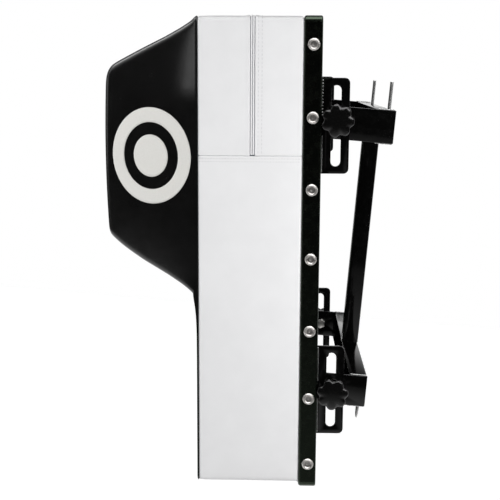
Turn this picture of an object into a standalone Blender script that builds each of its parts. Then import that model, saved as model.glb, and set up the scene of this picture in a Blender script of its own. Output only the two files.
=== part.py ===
"""Wall punching target: a foam pad with a protruding head, in a steel tray, on a wall bracket.

Units are metres. X runs across the width, +Y points into the wall, +Z is up. The wall is the
plane Y = 0, and the origin is the centre of the upper channel's wall face. The pad leans
forward at the top, because the upper arms of the bracket are longer than the lower ones.
"""
import math

import bmesh
import bpy

# General fits
CLEARANCE = 0.0003
CUT_MARGIN = 0.010

# Pad, measured in its own frame: y = 0 at the tray's back, z = 0 at the pad's underside
PAD_WIDTH = 0.494
PAD_HEIGHT = 0.7537
PAD_DEPTH = 0.1955
PAD_CORNER = 0.010
SEAM_WRAP = 0.003
LEATHER = 0.0016
FOAM_GAP = 0.0004

# Head of the target
HEAD_BASE_LOW = 0.3167
HEAD_FRONT_LOW = 0.4007
HEAD_FRONT_HIGH = 0.675
HEAD_FRONT_WIDTH = 0.3176
HEAD_REACH = 0.154
HEAD_EDGE = 0.008
HEAD_TOP_EDGE = 0.018
HEAD_CORNER = 0.012
HEAD_FOLD_CORNER = 0.002
HEAD_EASE = 0.6
HEAD_DEPTHS = (0.0162, 0.0070, 0.0030, 0.0008, 0.0)

# White bands, zipper and seams
BAND_SEAM_Z = 0.5397
ZIP_Y = -0.1075
ZIP_OPENING = 0.0078
ZIP_CHAIN = 0.0052
ZIP_TAPE_WIDTH = 0.024
ZIP_TAPE = 0.0008
ZIP_CHAIN_SINK = 0.0004
TUCK_START = 0.0085
TUCK_END = 0.0015
TUCK_LENGTH = 0.0085
TUCK_CURVE = ((0.53, 0.18), (0.26, 0.62))

# Zipper slider and its pull
SLIDER_WIDTH = 0.009
SLIDER_LENGTH = 0.014
SLIDER_PLATE = 0.0020
SLIDER_ARCH_WIDTH = 0.0040
SLIDER_ARCH_LENGTH = 0.0080
SLIDER_ARCH_HEIGHT = 0.0036
SLIDER_ARCH_ROUND = 0.0014
SLIDER_EYE_RADIUS = 0.0015
SLIDER_EYE_WALL = 0.0006
SLIDER_ABOVE_SEAM = 0.006
PULL_WIDTH = 0.0085
PULL_LENGTH = 0.030
PULL_THICKNESS = 0.0012
PULL_BAR = 0.0015
PULL_CORNER = 0.001
PULL_WINDOW_WIDTH = 0.0048
PULL_WINDOW_HEIGHT = 0.0065

# Steel tray
TRAY_RISE = 0.0009
TRAY_DROP = 0.0082
TRAY_DEPTH = 0.029
TRAY_WALL = 0.002
TRAY_LIP_RADIUS = 0.0042
TRAY_LIP_FLAT = 0.0004
TRAY_BEND_RADIUS = 0.0030
BOARD_THICKNESS = 0.0240

# Side screws with their cup washers
SCREW_HEIGHTS = (0.7108, 0.5992, 0.4867, 0.3761, 0.2581, 0.1452, 0.0331)
SCREW_FROM_BACK = 0.0137
SCREW_RADIUS = 0.0022
SCREW_LENGTH = 0.024
SCREW_HOLE_RADIUS = 0.0026
CUP_RADIUS = 0.0096
CUP_HEIGHT = 0.0026
CUP_SEAT_RADIUS = 0.0060
SOCKET_RADIUS = 0.0018

# Ears on the tray's back
EAR_INSET = 0.0228
EAR_THICKNESS = 0.004
EAR_HEIGHT = 0.150
EAR_PROJECTION = 0.0445
EAR_CORNER = 0.008
EAR_UPPER_Z = 0.5856
EAR_LOWER_Z = 0.1534
SLOT_WIDTH = 0.0155
SLOT_LENGTH = 0.127
SLOT_FROM_BACK = 0.0236

# Bolts, washers and star knobs
BOLT_FROM_BACK = 0.0248
UPPER_BOLT_Z = EAR_UPPER_Z + 0.0093
LOWER_BOLT_Z = EAR_LOWER_Z + 0.0011
BOLT_RADIUS = 0.005
BOLT_HOLE_RADIUS = 0.0053
BOLT_HEAD_FLATS = 0.017
BOLT_HEAD_HEIGHT = 0.0064
WASHER_RADIUS = 0.0150
WASHER_HOLE_RADIUS = 0.0055
WASHER_THICKNESS = 0.0025
KNOB_RADIUS = 0.0260
KNOB_LOBES = 7
KNOB_LOBE_DEPTH = 0.0044
KNOB_LENGTH = 0.030
KNOB_HUB_RADIUS = 0.0125
KNOB_HUB_LENGTH = 0.010
KNOB_RIM_START = 0.0205
KNOB_BORE_DEPTH = 0.014
KNOB_BORE_RADIUS = 0.0055
UPPER_KNOB_TURN = math.radians(104)
LOWER_KNOB_TURN = math.radians(-90)

# Wall bracket
UPPER_ARM_REACH = 0.0917
LOWER_ARM_REACH = 0.0572
ARM_HEIGHT = 0.052
ARM_THICKNESS = 0.004
ARM_NOSE = 0.019
ARM_CORNER = 0.006
UPPER_BOLT_RISE = 0.004
CHANNEL_DEPTH = 0.029
CHANNEL_WALL = 0.002
CHANNEL_BEND = 0.003
POST_WIDTH = 0.0265
POST_DEPTH = 0.0290
POST_WALL = 0.002
POST_CORNER = 0.003
ANCHOR_HOLE_RADIUS = 0.0053
ANCHOR_SPACING = 0.300
PIN_RADIUS = 0.0030
PIN_SPACING = 0.294
PIN_LENGTH = 0.0445
PIN_SEAT = 0.010
PIN_POINT = 0.015
PIN_BLUNT = 0.0006

# Facet counts
ARC_STEPS = 4
BOLT_STEPS = 16
SCREW_STEPS = 14
HOLE_STEPS = 12
LOBE_STEPS = 6

# The lean comes from the arms: both bolts lie on one line along the pad
BOLT_SPAN = UPPER_BOLT_Z - LOWER_BOLT_Z
TILT = math.asin((UPPER_ARM_REACH - LOWER_ARM_REACH) / BOLT_SPAN)
LOWER_CHANNEL_Z = UPPER_BOLT_RISE - BOLT_SPAN * math.cos(TILT)
HALF_PAD = PAD_WIDTH / 2
HALF_ARM = ARM_HEIGHT / 2
EAR_OUTER = HALF_PAD - EAR_INSET
ARM_OUTER = EAR_OUTER - EAR_THICKNESS - CLEARANCE
ARM_INNER = ARM_OUTER - ARM_THICKNESS
WASHER_INNER = EAR_OUTER + CLEARANCE
KNOB_INNER = WASHER_INNER + WASHER_THICKNESS + CLEARANCE
TUCK_INSET = TRAY_LIP_RADIUS + TRAY_LIP_FLAT + CLEARANCE
BOARD_INSET = TUCK_INSET + LEATHER + CLEARANCE
FOAM_INSET = LEATHER + FOAM_GAP
BOARD_BACK = -(TRAY_WALL + CLEARANCE)
BOARD_FRONT = BOARD_BACK - BOARD_THICKNESS
PAD_BASE_Z = UPPER_BOLT_RISE - UPPER_BOLT_Z * math.cos(TILT) - BOLT_FROM_BACK * math.sin(TILT)
PAD_BASE_Y = UPPER_BOLT_Z * math.sin(TILT) - BOLT_FROM_BACK * math.cos(TILT) - UPPER_ARM_REACH

# Colours: linear RGB, roughness and metallic value
FINISHES = {
    "powder_coat": ((0.006, 0.006, 0.006), 0.30, 0.0),
    "zinc": ((0.72, 0.71, 0.69), 0.30, 1.0),
    "black_leather": ((0.010, 0.010, 0.010), 0.42, 0.0),
    "white_leather": ((0.80, 0.80, 0.79), 0.45, 0.0),
    "zip_tape": ((0.55, 0.54, 0.56), 0.60, 0.0),
    "knob_plastic": ((0.005, 0.005, 0.005), 0.22, 0.0),
    "plywood": ((0.52, 0.36, 0.20), 0.70, 0.0),
    "foam": ((0.16, 0.17, 0.19), 0.90, 0.0),
}
ACROSS = (math.pi / 2, 0.0, math.pi / 2)
SIDES = (("right", 1), ("left", -1))


def clear_scene():
    for item in list(bpy.data.objects):
        bpy.data.objects.remove(item, do_unlink=True)


def make_collections():
    parts = bpy.data.collections.new("wall_punching_target")
    cutters = bpy.data.collections.new("cutters")
    for group in (parts, cutters):
        bpy.context.scene.collection.children.link(group)
    return parts, cutters


def make_material(name, finish):
    colour, roughness, metallic = FINISHES[finish]
    material = bpy.data.materials.new(name + "_" + finish)
    material.use_nodes = True
    shader = material.node_tree.nodes["Principled BSDF"]
    shader.inputs["Base Color"].default_value = (*colour, 1.0)
    shader.inputs["Roughness"].default_value = roughness
    shader.inputs["Metallic"].default_value = metallic
    return material


def add_object(name, data, finish, parent=None, location=(0, 0, 0), rotation=(0, 0, 0)):
    item = bpy.data.objects.new(name, data)
    item.location = location
    item.rotation_euler = rotation
    item.parent = parent
    data.materials.append(make_material(name, finish))
    PARTS.objects.link(item)
    return item


def add_cutter(name, mesh, parent=None):
    item = bpy.data.objects.new(name, mesh)
    item.parent = parent
    item.hide_render = True
    item.display_type = "WIRE"
    CUTTERS.objects.link(item)
    return item


def add_empty(name, location, rotation=(0, 0, 0)):
    item = bpy.data.objects.new(name, None)
    item.location = location
    item.rotation_euler = rotation
    PARTS.objects.link(item)
    return item


def add_boolean(item, cutter, operation="DIFFERENCE"):
    cut = item.modifiers.new(operation.lower(), "BOOLEAN")
    cut.object = cutter
    cut.operation = operation
    cut.solver = "EXACT"


def add_thickness(item, thickness):
    wall = item.modifiers.new("wall", "SOLIDIFY")
    wall.thickness = thickness
    wall.offset = -1
    wall.use_even_offset = True
    return wall


def finish_mesh(name, bm, smooth=False):
    mesh = bpy.data.meshes.new(name)
    bm.to_mesh(mesh)
    bm.free()
    if smooth:
        mesh.shade_smooth()
        mesh.set_sharp_from_angle(angle=math.radians(35))
    return mesh


def arc(centre, radius, start, end, steps):
    """Points of an arc in a plane, both ends included."""
    turns = [start + (end - start) * i / steps for i in range(steps + 1)]
    return [(centre[0] + radius * math.cos(t), centre[1] + radius * math.sin(t)) for t in turns]


def circle(centre, radius, steps):
    return arc(centre, radius, 0, 2 * math.pi, steps)[:-1]


def rounded_box(low, high, radii, steps=ARC_STEPS):
    """A closed outline. radii are those of the corners at low-low, high-low, high-high, low-high."""
    (left, foot), (right, top) = low, high
    corners = ((left, foot, 1, 1), (right, foot, -1, 1), (right, top, -1, -1), (left, top, 1, -1))
    outline = []
    for number, ((x, y, sx, sy), radius) in enumerate(zip(corners, radii)):
        start = math.pi + number * math.pi / 2
        if radius:
            outline += arc((x + sx * radius, y + sy * radius), radius, start, start + math.pi / 2, steps)
        else:
            outline.append((x, y))
    return outline


def slot_outline(centre, width, length, steps):
    """A slot that runs along the second axis."""
    radius = width / 2
    rise = length / 2 - radius
    top = arc((centre[0], centre[1] + rise), radius, 0, math.pi, steps)
    bottom = arc((centre[0], centre[1] - rise), radius, math.pi, 2 * math.pi, steps)
    return top + bottom


def plate_data(name, outlines, thickness):
    """A flat plate as a filled 2D curve: the first outline is its edge, the others are holes."""
    curve = bpy.data.curves.new(name, "CURVE")
    curve.dimensions = "2D"
    curve.fill_mode = "BOTH"
    curve.extrude = thickness / 2
    for outline in outlines:
        spline = curve.splines.new("POLY")
        spline.points.add(len(outline) - 1)
        for point, (x, y) in zip(spline.points, outline):
            point.co = (x, y, 0, 1)
        spline.use_cyclic_u = True
    return curve


def turned_mesh(name, profile):
    """The profile of a turned piece, (radius, height) from the top down its outer side."""
    bm = bmesh.new()
    points = [bm.verts.new((radius, 0, height)) for radius, height in profile]
    for first, second in zip(points, points[1:]):
        bm.edges.new((first, second))
    return finish_mesh(name, bm)


def add_turning(item, steps):
    turn = item.modifiers.new("turn", "SCREW")
    turn.steps = steps
    turn.render_steps = steps
    turn.use_merge_vertices = True
    turn.merge_threshold = 0.00001
    turn.use_smooth_shade = False


def cylinder_bm(bm, radius, length, centre, steps, axis="X"):
    made = bmesh.ops.create_cone(
        bm, cap_ends=True, segments=steps, radius1=radius, radius2=radius, depth=length)["verts"]
    if axis == "X":
        for vert in made:
            vert.co = (vert.co.z, vert.co.x, vert.co.y)
    if axis == "Y":
        for vert in made:
            vert.co = (vert.co.y, vert.co.z, vert.co.x)
    bmesh.ops.translate(bm, verts=made, vec=centre)
    return made


def shrink(rect, inset):
    half, low, high, radius = rect
    return (half - inset, low + inset, high - inset, radius - inset)


def blend_rects(first, second, share):
    return tuple(a + (b - a) * share for a, b in zip(first, second))


PAD_RECT = (HALF_PAD, 0.0, PAD_HEIGHT, PAD_CORNER)
TRAY_RECT = (HALF_PAD, -TRAY_DROP, PAD_HEIGHT + TRAY_RISE, PAD_CORNER)
TUCK_RECT = shrink(TRAY_RECT, TUCK_INSET)


def rect_loop(rect):
    """The whole outline of a rounded rectangle in the XZ plane."""
    half, low, high, radius = rect
    return rounded_box((-half, low), (half, high), (radius,) * 4)


def upper_path(rect, cut):
    """From the right side at the cut, over the top, down to the cut on the left."""
    half, low, high, radius = rect
    right = arc((half - radius, high - radius), radius, 0, math.pi / 2, ARC_STEPS)
    left = arc((radius - half, high - radius), radius, math.pi / 2, math.pi, ARC_STEPS)
    return [(half, cut)] + right + left + [(-half, cut)]


def lower_path(rect, cut):
    """From the left side at the cut, under the pad, up to the cut on the right."""
    half, low, high, radius = rect
    left = arc((radius - half, low + radius), radius, math.pi, 1.5 * math.pi, ARC_STEPS)
    right = arc((half - radius, low + radius), radius, 1.5 * math.pi, 2 * math.pi, ARC_STEPS)
    return [(-half, cut)] + left + right + [(half, cut)]


def strip_bm(rows, closed=False):
    """An open skin through rows of (x, y, z) points, facing away from the pad."""
    bm = bmesh.new()
    grid = [[bm.verts.new(point) for point in row] for row in rows]
    count = len(grid[0])
    for near, far in zip(grid, grid[1:]):
        for i in range(count if closed else count - 1):
            j = (i + 1) % count
            bm.faces.new((near[i], far[i], far[j], near[j]))
    return bm, grid


def tucked_stations(front, ahead=0.0, rear=TUCK_LENGTH - TRAY_DEPTH):
    """(y, share of the tuck) from the given front edge into the tray's mouth."""
    mouth = -TRAY_DEPTH - ahead
    return [
        (front, 0.0),
        (mouth - TUCK_START, 0.0),
    ] + [(mouth - TUCK_START * part, share) for part, share in TUCK_CURVE] + [
        (mouth - TUCK_END, 1.0),
        (rear, 1.0),
    ]


def make_band(name, stations, path, cut):
    rows = []
    for y, share in stations:
        outline = path(blend_rects(PAD_RECT, TUCK_RECT, share), cut)
        rows.append([(x, y, z) for x, z in outline])
    bm = strip_bm(rows)[0]
    band = add_object(name, finish_mesh(name, bm), "white_leather", PAD)
    add_thickness(band, LEATHER)


def make_bands():
    """The white leather round the sides: an upper part split by the zipper, and a lower part."""
    front = SEAM_WRAP + CLEARANCE - PAD_DEPTH
    zip_front = ZIP_Y - ZIP_OPENING / 2
    zip_rear = ZIP_Y + ZIP_OPENING / 2
    above = BAND_SEAM_Z + CLEARANCE / 2
    below = BAND_SEAM_Z - CLEARANCE / 2
    make_band("band_upper_front", [(front, 0.0), (zip_front, 0.0)], upper_path, above)
    make_band("band_upper_rear", tucked_stations(zip_rear), upper_path, above)
    make_band("band_lower", tucked_stations(front), lower_path, below)


def zip_rows(section):
    above = BAND_SEAM_Z + CLEARANCE / 2
    rows = []
    for y, inset in section:
        rows.append([(x, ZIP_Y + y, z) for x, z in upper_path(shrink(PAD_RECT, inset), above)])
    return rows


def make_zipper():
    """The zipper's tape under the leather, with its raised chain between the two strips."""
    tape = LEATHER + CLEARANCE
    half_tape = ZIP_TAPE_WIDTH / 2
    half_chain = ZIP_CHAIN / 2
    section = [
        (-half_tape, tape),
        (-half_chain, tape),
        (-half_chain * 0.8, ZIP_CHAIN_SINK),
        (half_chain * 0.8, ZIP_CHAIN_SINK),
        (half_chain, tape),
        (half_tape, tape),
    ]
    bm = strip_bm(zip_rows(section))[0]
    zipper = add_object("zipper", finish_mesh("zipper", bm), "zip_tape", PAD)
    add_thickness(zipper, ZIP_TAPE)


def zip_groove():
    """The groove that the tape presses into the foam."""
    depth = LEATHER + CLEARANCE + ZIP_TAPE + CLEARANCE
    half = ZIP_TAPE_WIDTH / 2 + CLEARANCE
    outer = zip_rows([(-half, -CUT_MARGIN), (half, -CUT_MARGIN)])
    inner = zip_rows([(half, depth), (-half, depth)])
    bm = strip_bm(outer + inner + outer[:1])[0]
    bmesh.ops.remove_doubles(bm, verts=bm.verts, dist=0.00001)
    bmesh.ops.holes_fill(bm, edges=[edge for edge in bm.edges if edge.is_boundary], sides=0)
    bmesh.ops.recalc_face_normals(bm, faces=bm.faces)
    return add_cutter("zip_groove", finish_mesh("zip_groove", bm), PAD)


def head_side(base, corner, edge, depth):
    """How far out one side of the head is, at a depth behind its front face."""
    lean = math.atan2(base - corner, HEAD_REACH)
    if depth >= edge * math.cos(lean):
        return corner + depth * math.tan(lean)
    radius = edge / math.tan((math.pi / 2 - lean) / 2)
    return corner - edge + math.sqrt(radius ** 2 - (radius - depth) ** 2)


def head_row(depth, inset):
    """The head's outline at a depth behind its front face, from the left end of the fold."""
    ease = inset * HEAD_EASE
    half = head_side(HALF_PAD - inset, HEAD_FRONT_WIDTH / 2 - ease, HEAD_EDGE, depth)
    low = -head_side(-HEAD_BASE_LOW - ease, -HEAD_FRONT_LOW - ease, HEAD_EDGE, depth)
    high = head_side(PAD_HEIGHT - inset, HEAD_FRONT_HIGH - ease, HEAD_TOP_EDGE, depth)
    share = depth / HEAD_REACH
    fold = HEAD_CORNER + (HEAD_FOLD_CORNER - HEAD_CORNER) * share
    crown = HEAD_CORNER + (PAD_CORNER - inset - HEAD_CORNER) * share
    y = depth - HEAD_REACH - PAD_DEPTH + inset
    outline = rounded_box((-half, low), (half, high), (fold, fold, crown, crown))
    return [(x, y, z) for x, z in outline]


def pad_form(inset, rear):
    """The pad's front with its head, as a closed form that ends at the given plane behind."""
    bm = bmesh.new()
    depths = (HEAD_REACH,) + HEAD_DEPTHS
    head = [[bm.verts.new(point) for point in head_row(depth, inset)] for depth in depths]
    corner = ARC_STEPS + 1
    base = head[0]
    fold = base[:2 * corner]
    crown = base[2 * corner:]
    front = inset - PAD_DEPTH
    below = rect_loop(shrink(PAD_RECT, inset))[:2 * corner]
    foot = [bm.verts.new((x, front, z)) for x, z in below]
    outline = foot + [fold[-1]] + crown + [fold[0]]
    back = [bm.verts.new((vert.co.x, rear, vert.co.z)) for vert in outline]
    for near, far in zip(head, head[1:]):
        bridge(bm, near, far)
    bridge(bm, outline, back)
    bm.faces.new(foot + fold[::-1])
    bm.faces.new(head[-1])
    bm.faces.new(back)
    bmesh.ops.recalc_face_normals(bm, faces=bm.faces)
    return bm


def bridge(bm, near, far):
    """Faces between two closed rings of the same count."""
    for i in range(len(near)):
        j = (i + 1) % len(near)
        bm.faces.new((near[i], far[i], far[j], near[j]))


def make_cover_front():
    """The black front of the cover: one shell over the pad's front and the head."""
    outside = pad_form(0.0, SEAM_WRAP - PAD_DEPTH)
    cover = add_object("cover_front", finish_mesh("cover_front", outside), "black_leather", PAD)
    inside = pad_form(LEATHER, CUT_MARGIN - PAD_DEPTH)
    add_boolean(cover, add_cutter("cover_inside", finish_mesh("cover_inside", inside), PAD))


def make_head_foam():
    """The block of foam inside the head."""
    bm = bmesh.new()
    depths = (HEAD_REACH - CLEARANCE,) + HEAD_DEPTHS
    rings = [[bm.verts.new(point) for point in head_row(depth, FOAM_INSET)] for depth in depths]
    for near, far in zip(rings, rings[1:]):
        bridge(bm, near, far)
    bm.faces.new(rings[0])
    bm.faces.new(rings[-1])
    bmesh.ops.recalc_face_normals(bm, faces=bm.faces)
    add_object("head_foam", finish_mesh("head_foam", bm), "foam", PAD)


def make_core_foam(groove):
    """The slab of foam: it fills the cover and narrows into the tray's mouth."""
    foam = shrink(PAD_RECT, FOAM_INSET)
    half, low, high, radius = shrink(TRAY_RECT, BOARD_INSET)
    tuck = (half, foam[1], high, radius)
    rows = []
    for y, share in tucked_stations(FOAM_INSET - PAD_DEPTH, FOAM_INSET, BOARD_FRONT - CLEARANCE):
        rows.append([(x, y, z) for x, z in rect_loop(blend_rects(foam, tuck, share))])
    bm = strip_bm(rows, closed=True)[0]
    bmesh.ops.holes_fill(bm, edges=[edge for edge in bm.edges if edge.is_boundary], sides=0)
    bmesh.ops.recalc_face_normals(bm, faces=bm.faces)
    core = add_object("core_foam", finish_mesh("core_foam", bm), "foam", PAD)
    add_boolean(core, groove)


def screw_hole_cutter():
    bm = bmesh.new()
    depth = SCREW_LENGTH + 2 * CLEARANCE
    length = depth + CUT_MARGIN
    for side, sign in SIDES:
        for z in SCREW_HEIGHTS:
            centre = (sign * (HALF_PAD - depth + length / 2), -SCREW_FROM_BACK, z)
            cylinder_bm(bm, SCREW_HOLE_RADIUS, length, centre, HOLE_STEPS)
    bmesh.ops.recalc_face_normals(bm, faces=bm.faces)
    return add_cutter("screw_holes", finish_mesh("screw_holes", bm), PAD)


def make_tray(holes):
    """The sheet steel tray: a back, four bent walls and a rolled lip at the mouth."""
    stations = []
    for y, inset in arc((-TRAY_BEND_RADIUS, TRAY_BEND_RADIUS), TRAY_BEND_RADIUS, 0, -math.pi / 2, ARC_STEPS):
        stations.append((y, inset))
    lip = (TRAY_LIP_RADIUS - TRAY_DEPTH, TRAY_LIP_RADIUS)
    stations += arc(lip, TRAY_LIP_RADIUS, -math.pi / 2, -math.pi, ARC_STEPS)
    stations.append((-TRAY_DEPTH, TRAY_LIP_RADIUS + TRAY_LIP_FLAT))
    stations.reverse()
    rows = [[(x, y, z) for x, z in rect_loop(shrink(TRAY_RECT, inset))] for y, inset in stations]
    bm, grid = strip_bm(rows, closed=True)
    bm.faces.new(grid[-1])
    bmesh.ops.recalc_face_normals(bm, faces=bm.faces)
    tray = add_object("tray", finish_mesh("tray", bm, smooth=True), "powder_coat", PAD)
    add_thickness(tray, TRAY_WALL)
    add_boolean(tray, holes)


def make_board(holes):
    """The plywood board that the tray's screws bite into."""
    half, low, high, radius = shrink(TRAY_RECT, BOARD_INSET)
    outline = [(x, z) for x, z in rect_loop((half, low, high, radius))]
    rows = [[(x, y, z) for x, z in outline] for y in (BOARD_FRONT, BOARD_BACK)]
    bm = strip_bm(rows, closed=True)[0]
    bmesh.ops.holes_fill(bm, edges=[edge for edge in bm.edges if edge.is_boundary], sides=0)
    bmesh.ops.recalc_face_normals(bm, faces=bm.faces)
    board = add_object("back_board", finish_mesh("back_board", bm), "plywood", PAD)
    add_boolean(board, holes)


def make_screws():
    """Countersunk screws in cup washers, seven on each side of the tray."""
    profile = (
        (0.0, CUP_HEIGHT * 0.25),
        (SOCKET_RADIUS, CUP_HEIGHT * 0.25),
        (SOCKET_RADIUS, CUP_HEIGHT * 0.6),
        (CUP_SEAT_RADIUS * 0.85, CUP_HEIGHT * 0.5),
        (CUP_SEAT_RADIUS, CUP_HEIGHT * 0.9),
        (CUP_RADIUS * 0.78, CUP_HEIGHT),
        (CUP_RADIUS * 0.95, CUP_HEIGHT * 0.5),
        (CUP_RADIUS, CLEARANCE),
        (SCREW_RADIUS, CLEARANCE),
        (SCREW_RADIUS, -SCREW_LENGTH * 0.85),
        (0.0, -SCREW_LENGTH),
    )
    for side, sign in SIDES:
        for number, z in enumerate(SCREW_HEIGHTS, start=1):
            name = "tray_screw_%s_%d" % (side, number)
            place = (sign * HALF_PAD, -SCREW_FROM_BACK, z)
            screw = add_object(
                name, turned_mesh(name, profile), "zinc", PAD, place, (0, sign * math.pi / 2, 0))
            add_turning(screw, SCREW_STEPS)


def make_ears():
    """Four slotted ears, welded on edge to the tray's back."""
    radii = (0, EAR_CORNER, EAR_CORNER, 0)
    half = EAR_HEIGHT / 2
    outline = rounded_box((CLEARANCE, -half), (EAR_PROJECTION, half), radii)
    slot = slot_outline((SLOT_FROM_BACK, 0), SLOT_WIDTH, SLOT_LENGTH, 2 * ARC_STEPS)
    for level, z in (("upper", EAR_UPPER_Z), ("lower", EAR_LOWER_Z)):
        for side, sign in SIDES:
            name = "ear_%s_%s" % (level, side)
            place = (sign * (EAR_OUTER - EAR_THICKNESS / 2), 0, z)
            add_object(
                name, plate_data(name, (outline, slot), EAR_THICKNESS), "powder_coat", PAD, place, ACROSS)


def make_slider():
    """The zipper's slider, parked at the closed end on the left, and its hanging pull."""
    eye = SLIDER_PLATE + SLIDER_ARCH_HEIGHT - SLIDER_EYE_RADIUS - SLIDER_EYE_WALL
    level = BAND_SEAM_Z + SLIDER_ABOVE_SEAM + SLIDER_LENGTH / 2
    face = -(HALF_PAD + CLEARANCE)
    bm = bmesh.new()
    plate = bmesh.ops.create_cube(bm, size=1)["verts"]
    for vert in plate:
        vert.co = ((vert.co.x - 0.5) * SLIDER_PLATE, vert.co.y * SLIDER_WIDTH, vert.co.z * SLIDER_LENGTH)
    slider = add_object("zip_slider", finish_mesh("zip_slider", bm), "zinc", PAD, (face, ZIP_Y, level))
    arch = bmesh.new()
    block = bmesh.ops.create_cube(arch, size=1)["verts"]
    height = SLIDER_ARCH_HEIGHT + SLIDER_PLATE / 2
    for vert in block:
        x = (vert.co.x - 0.5) * height - SLIDER_PLATE / 2
        vert.co = (x, vert.co.y * SLIDER_ARCH_WIDTH, vert.co.z * SLIDER_ARCH_LENGTH)
    corners = [edge for edge in arch.edges if all(vert.co.x < -SLIDER_PLATE for vert in edge.verts)]
    ends = [edge for edge in corners if abs(edge.verts[0].co.y - edge.verts[1].co.y) > 0.001]
    bmesh.ops.bevel(
        arch, geom=ends, offset=SLIDER_ARCH_ROUND, offset_type="OFFSET", segments=2, profile=0.5,
        affect="EDGES")
    arch_cutter = add_cutter("slider_arch", finish_mesh("slider_arch", arch), slider)
    add_boolean(slider, arch_cutter, "UNION")
    hole = bmesh.new()
    cylinder_bm(hole, SLIDER_EYE_RADIUS, SLIDER_WIDTH, (-eye, 0, 0), HOLE_STEPS, "Y")
    bmesh.ops.recalc_face_normals(hole, faces=hole.faces)
    add_boolean(slider, add_cutter("slider_eye", finish_mesh("slider_eye", hole), slider))
    make_pull(slider, eye)


def make_pull(slider, eye):
    """The pull hangs from the slider's eye by the bar above its window."""
    half = PULL_WIDTH / 2
    top = PULL_BAR / 2
    radii = (half * 0.9, half * 0.9, PULL_CORNER, PULL_CORNER)
    outline = rounded_box((-half, top - PULL_LENGTH), (half, top), radii)
    window_half = PULL_WINDOW_WIDTH / 2
    window = rounded_box(
        (-window_half, -top - PULL_WINDOW_HEIGHT), (window_half, -top), (0, 0, 0, 0))
    data = plate_data("zip_pull", (outline, window), PULL_THICKNESS)
    add_object("zip_pull", data, "zinc", slider, (-eye, 0, 0), ACROSS)


def make_bolt(name, place, sign):
    """A hexagon bolt through arm, slot, washer and knob, its head inside the bracket."""
    root = BOLT_HEAD_FLATS / 2 / math.cos(math.pi / 6)
    shank = KNOB_INNER + KNOB_BORE_DEPTH - 2 * CLEARANCE - (ARM_INNER - CLEARANCE)
    bm = bmesh.new()
    cylinder_bm(bm, root, BOLT_HEAD_HEIGHT, (-BOLT_HEAD_HEIGHT / 2, 0, 0), 6)
    turn = 0 if sign > 0 else math.pi
    seat = (sign * (ARM_INNER - CLEARANCE), place[1], place[2])
    bolt = add_object(name, finish_mesh(name, bm), "zinc", None, seat, (0, 0, turn))
    rod = bmesh.new()
    centre = (shank / 2 - BOLT_HEAD_HEIGHT / 4, 0, 0)
    cylinder_bm(rod, BOLT_RADIUS, shank + BOLT_HEAD_HEIGHT / 2, centre, BOLT_STEPS)
    bmesh.ops.recalc_face_normals(rod, faces=rod.faces)
    add_boolean(bolt, add_cutter(name + "_shank", finish_mesh(name + "_shank", rod), bolt), "UNION")


def knob_rings():
    """(distance out, radius, depth of the lobes) from the bore's floor round to the domed face.

    The head widens to its rim only outside the tray's side, so that it can turn beside the tray.
    """
    tip = KNOB_RADIUS
    lobe = KNOB_LOBE_DEPTH
    start = KNOB_HUB_LENGTH
    rim = KNOB_RIM_START
    cone = rim - start
    head = KNOB_LENGTH - rim
    return (
        (KNOB_BORE_DEPTH, KNOB_BORE_RADIUS, 0),
        (0, KNOB_BORE_RADIUS, 0),
        (0, KNOB_HUB_RADIUS, 0),
        (start, KNOB_HUB_RADIUS, 0),
        (start + cone * 0.40, tip * 0.68, lobe * 0.5),
        (start + cone * 0.92, tip * 0.90, lobe * 0.9),
        (rim, tip, lobe),
        (rim + head * 0.50, tip, lobe),
        (rim + head * 0.80, tip * 0.90, lobe * 0.9),
        (rim + head * 0.95, tip * 0.60, lobe * 0.4),
        (KNOB_LENGTH, tip * 0.30, 0),
    )


def knob_mesh(name, phase):
    """A loft from the round hub to the lobed head: no primitive or profile makes it."""
    bm = bmesh.new()
    count = KNOB_LOBES * LOBE_STEPS
    rings = []
    for out, tip, lobe in knob_rings():
        ring = []
        for i in range(count):
            turn = 2 * math.pi * i / count
            radius = tip - lobe / 2 * (1 - math.cos(KNOB_LOBES * turn))
            ring.append(bm.verts.new((out, radius * math.cos(turn + phase), radius * math.sin(turn + phase))))
        rings.append(ring)
    for near, far in zip(rings, rings[1:]):
        for i in range(count):
            j = (i + 1) % count
            bm.faces.new((near[i], near[j], far[j], far[i]))
    bmesh.ops.holes_fill(bm, edges=[edge for edge in bm.edges if edge.is_boundary], sides=0)
    bmesh.ops.recalc_face_normals(bm, faces=bm.faces)
    return finish_mesh(name, bm, smooth=True)


def make_clamps():
    """At each end of both bolt axes: a bolt, a wide washer and a star knob."""
    upper = (0, -UPPER_ARM_REACH, UPPER_BOLT_RISE)
    lower = (0, -LOWER_ARM_REACH, LOWER_CHANNEL_Z)
    for level, place, phase in (("upper", upper, UPPER_KNOB_TURN), ("lower", lower, LOWER_KNOB_TURN)):
        for side, sign in SIDES:
            end = "%s_%s" % (level, side)
            make_bolt("bolt_" + end, place, sign)
            middle = sign * (WASHER_INNER + WASHER_THICKNESS / 2)
            rim = circle((0, 0), WASHER_RADIUS, 2 * BOLT_STEPS)
            hole = circle((0, 0), WASHER_HOLE_RADIUS, BOLT_STEPS)
            washer = plate_data("washer_" + end, (rim, hole), WASHER_THICKNESS)
            add_object("washer_" + end, washer, "zinc", None, (middle, place[1], place[2]), ACROSS)
            axle = add_empty("knob_axis_" + end, (sign * KNOB_INNER, place[1], place[2]))
            axle.rotation_euler.z = 0 if sign > 0 else math.pi
            name = "knob_" + end
            add_object(name, knob_mesh(name, phase), "knob_plastic", axle)


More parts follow.
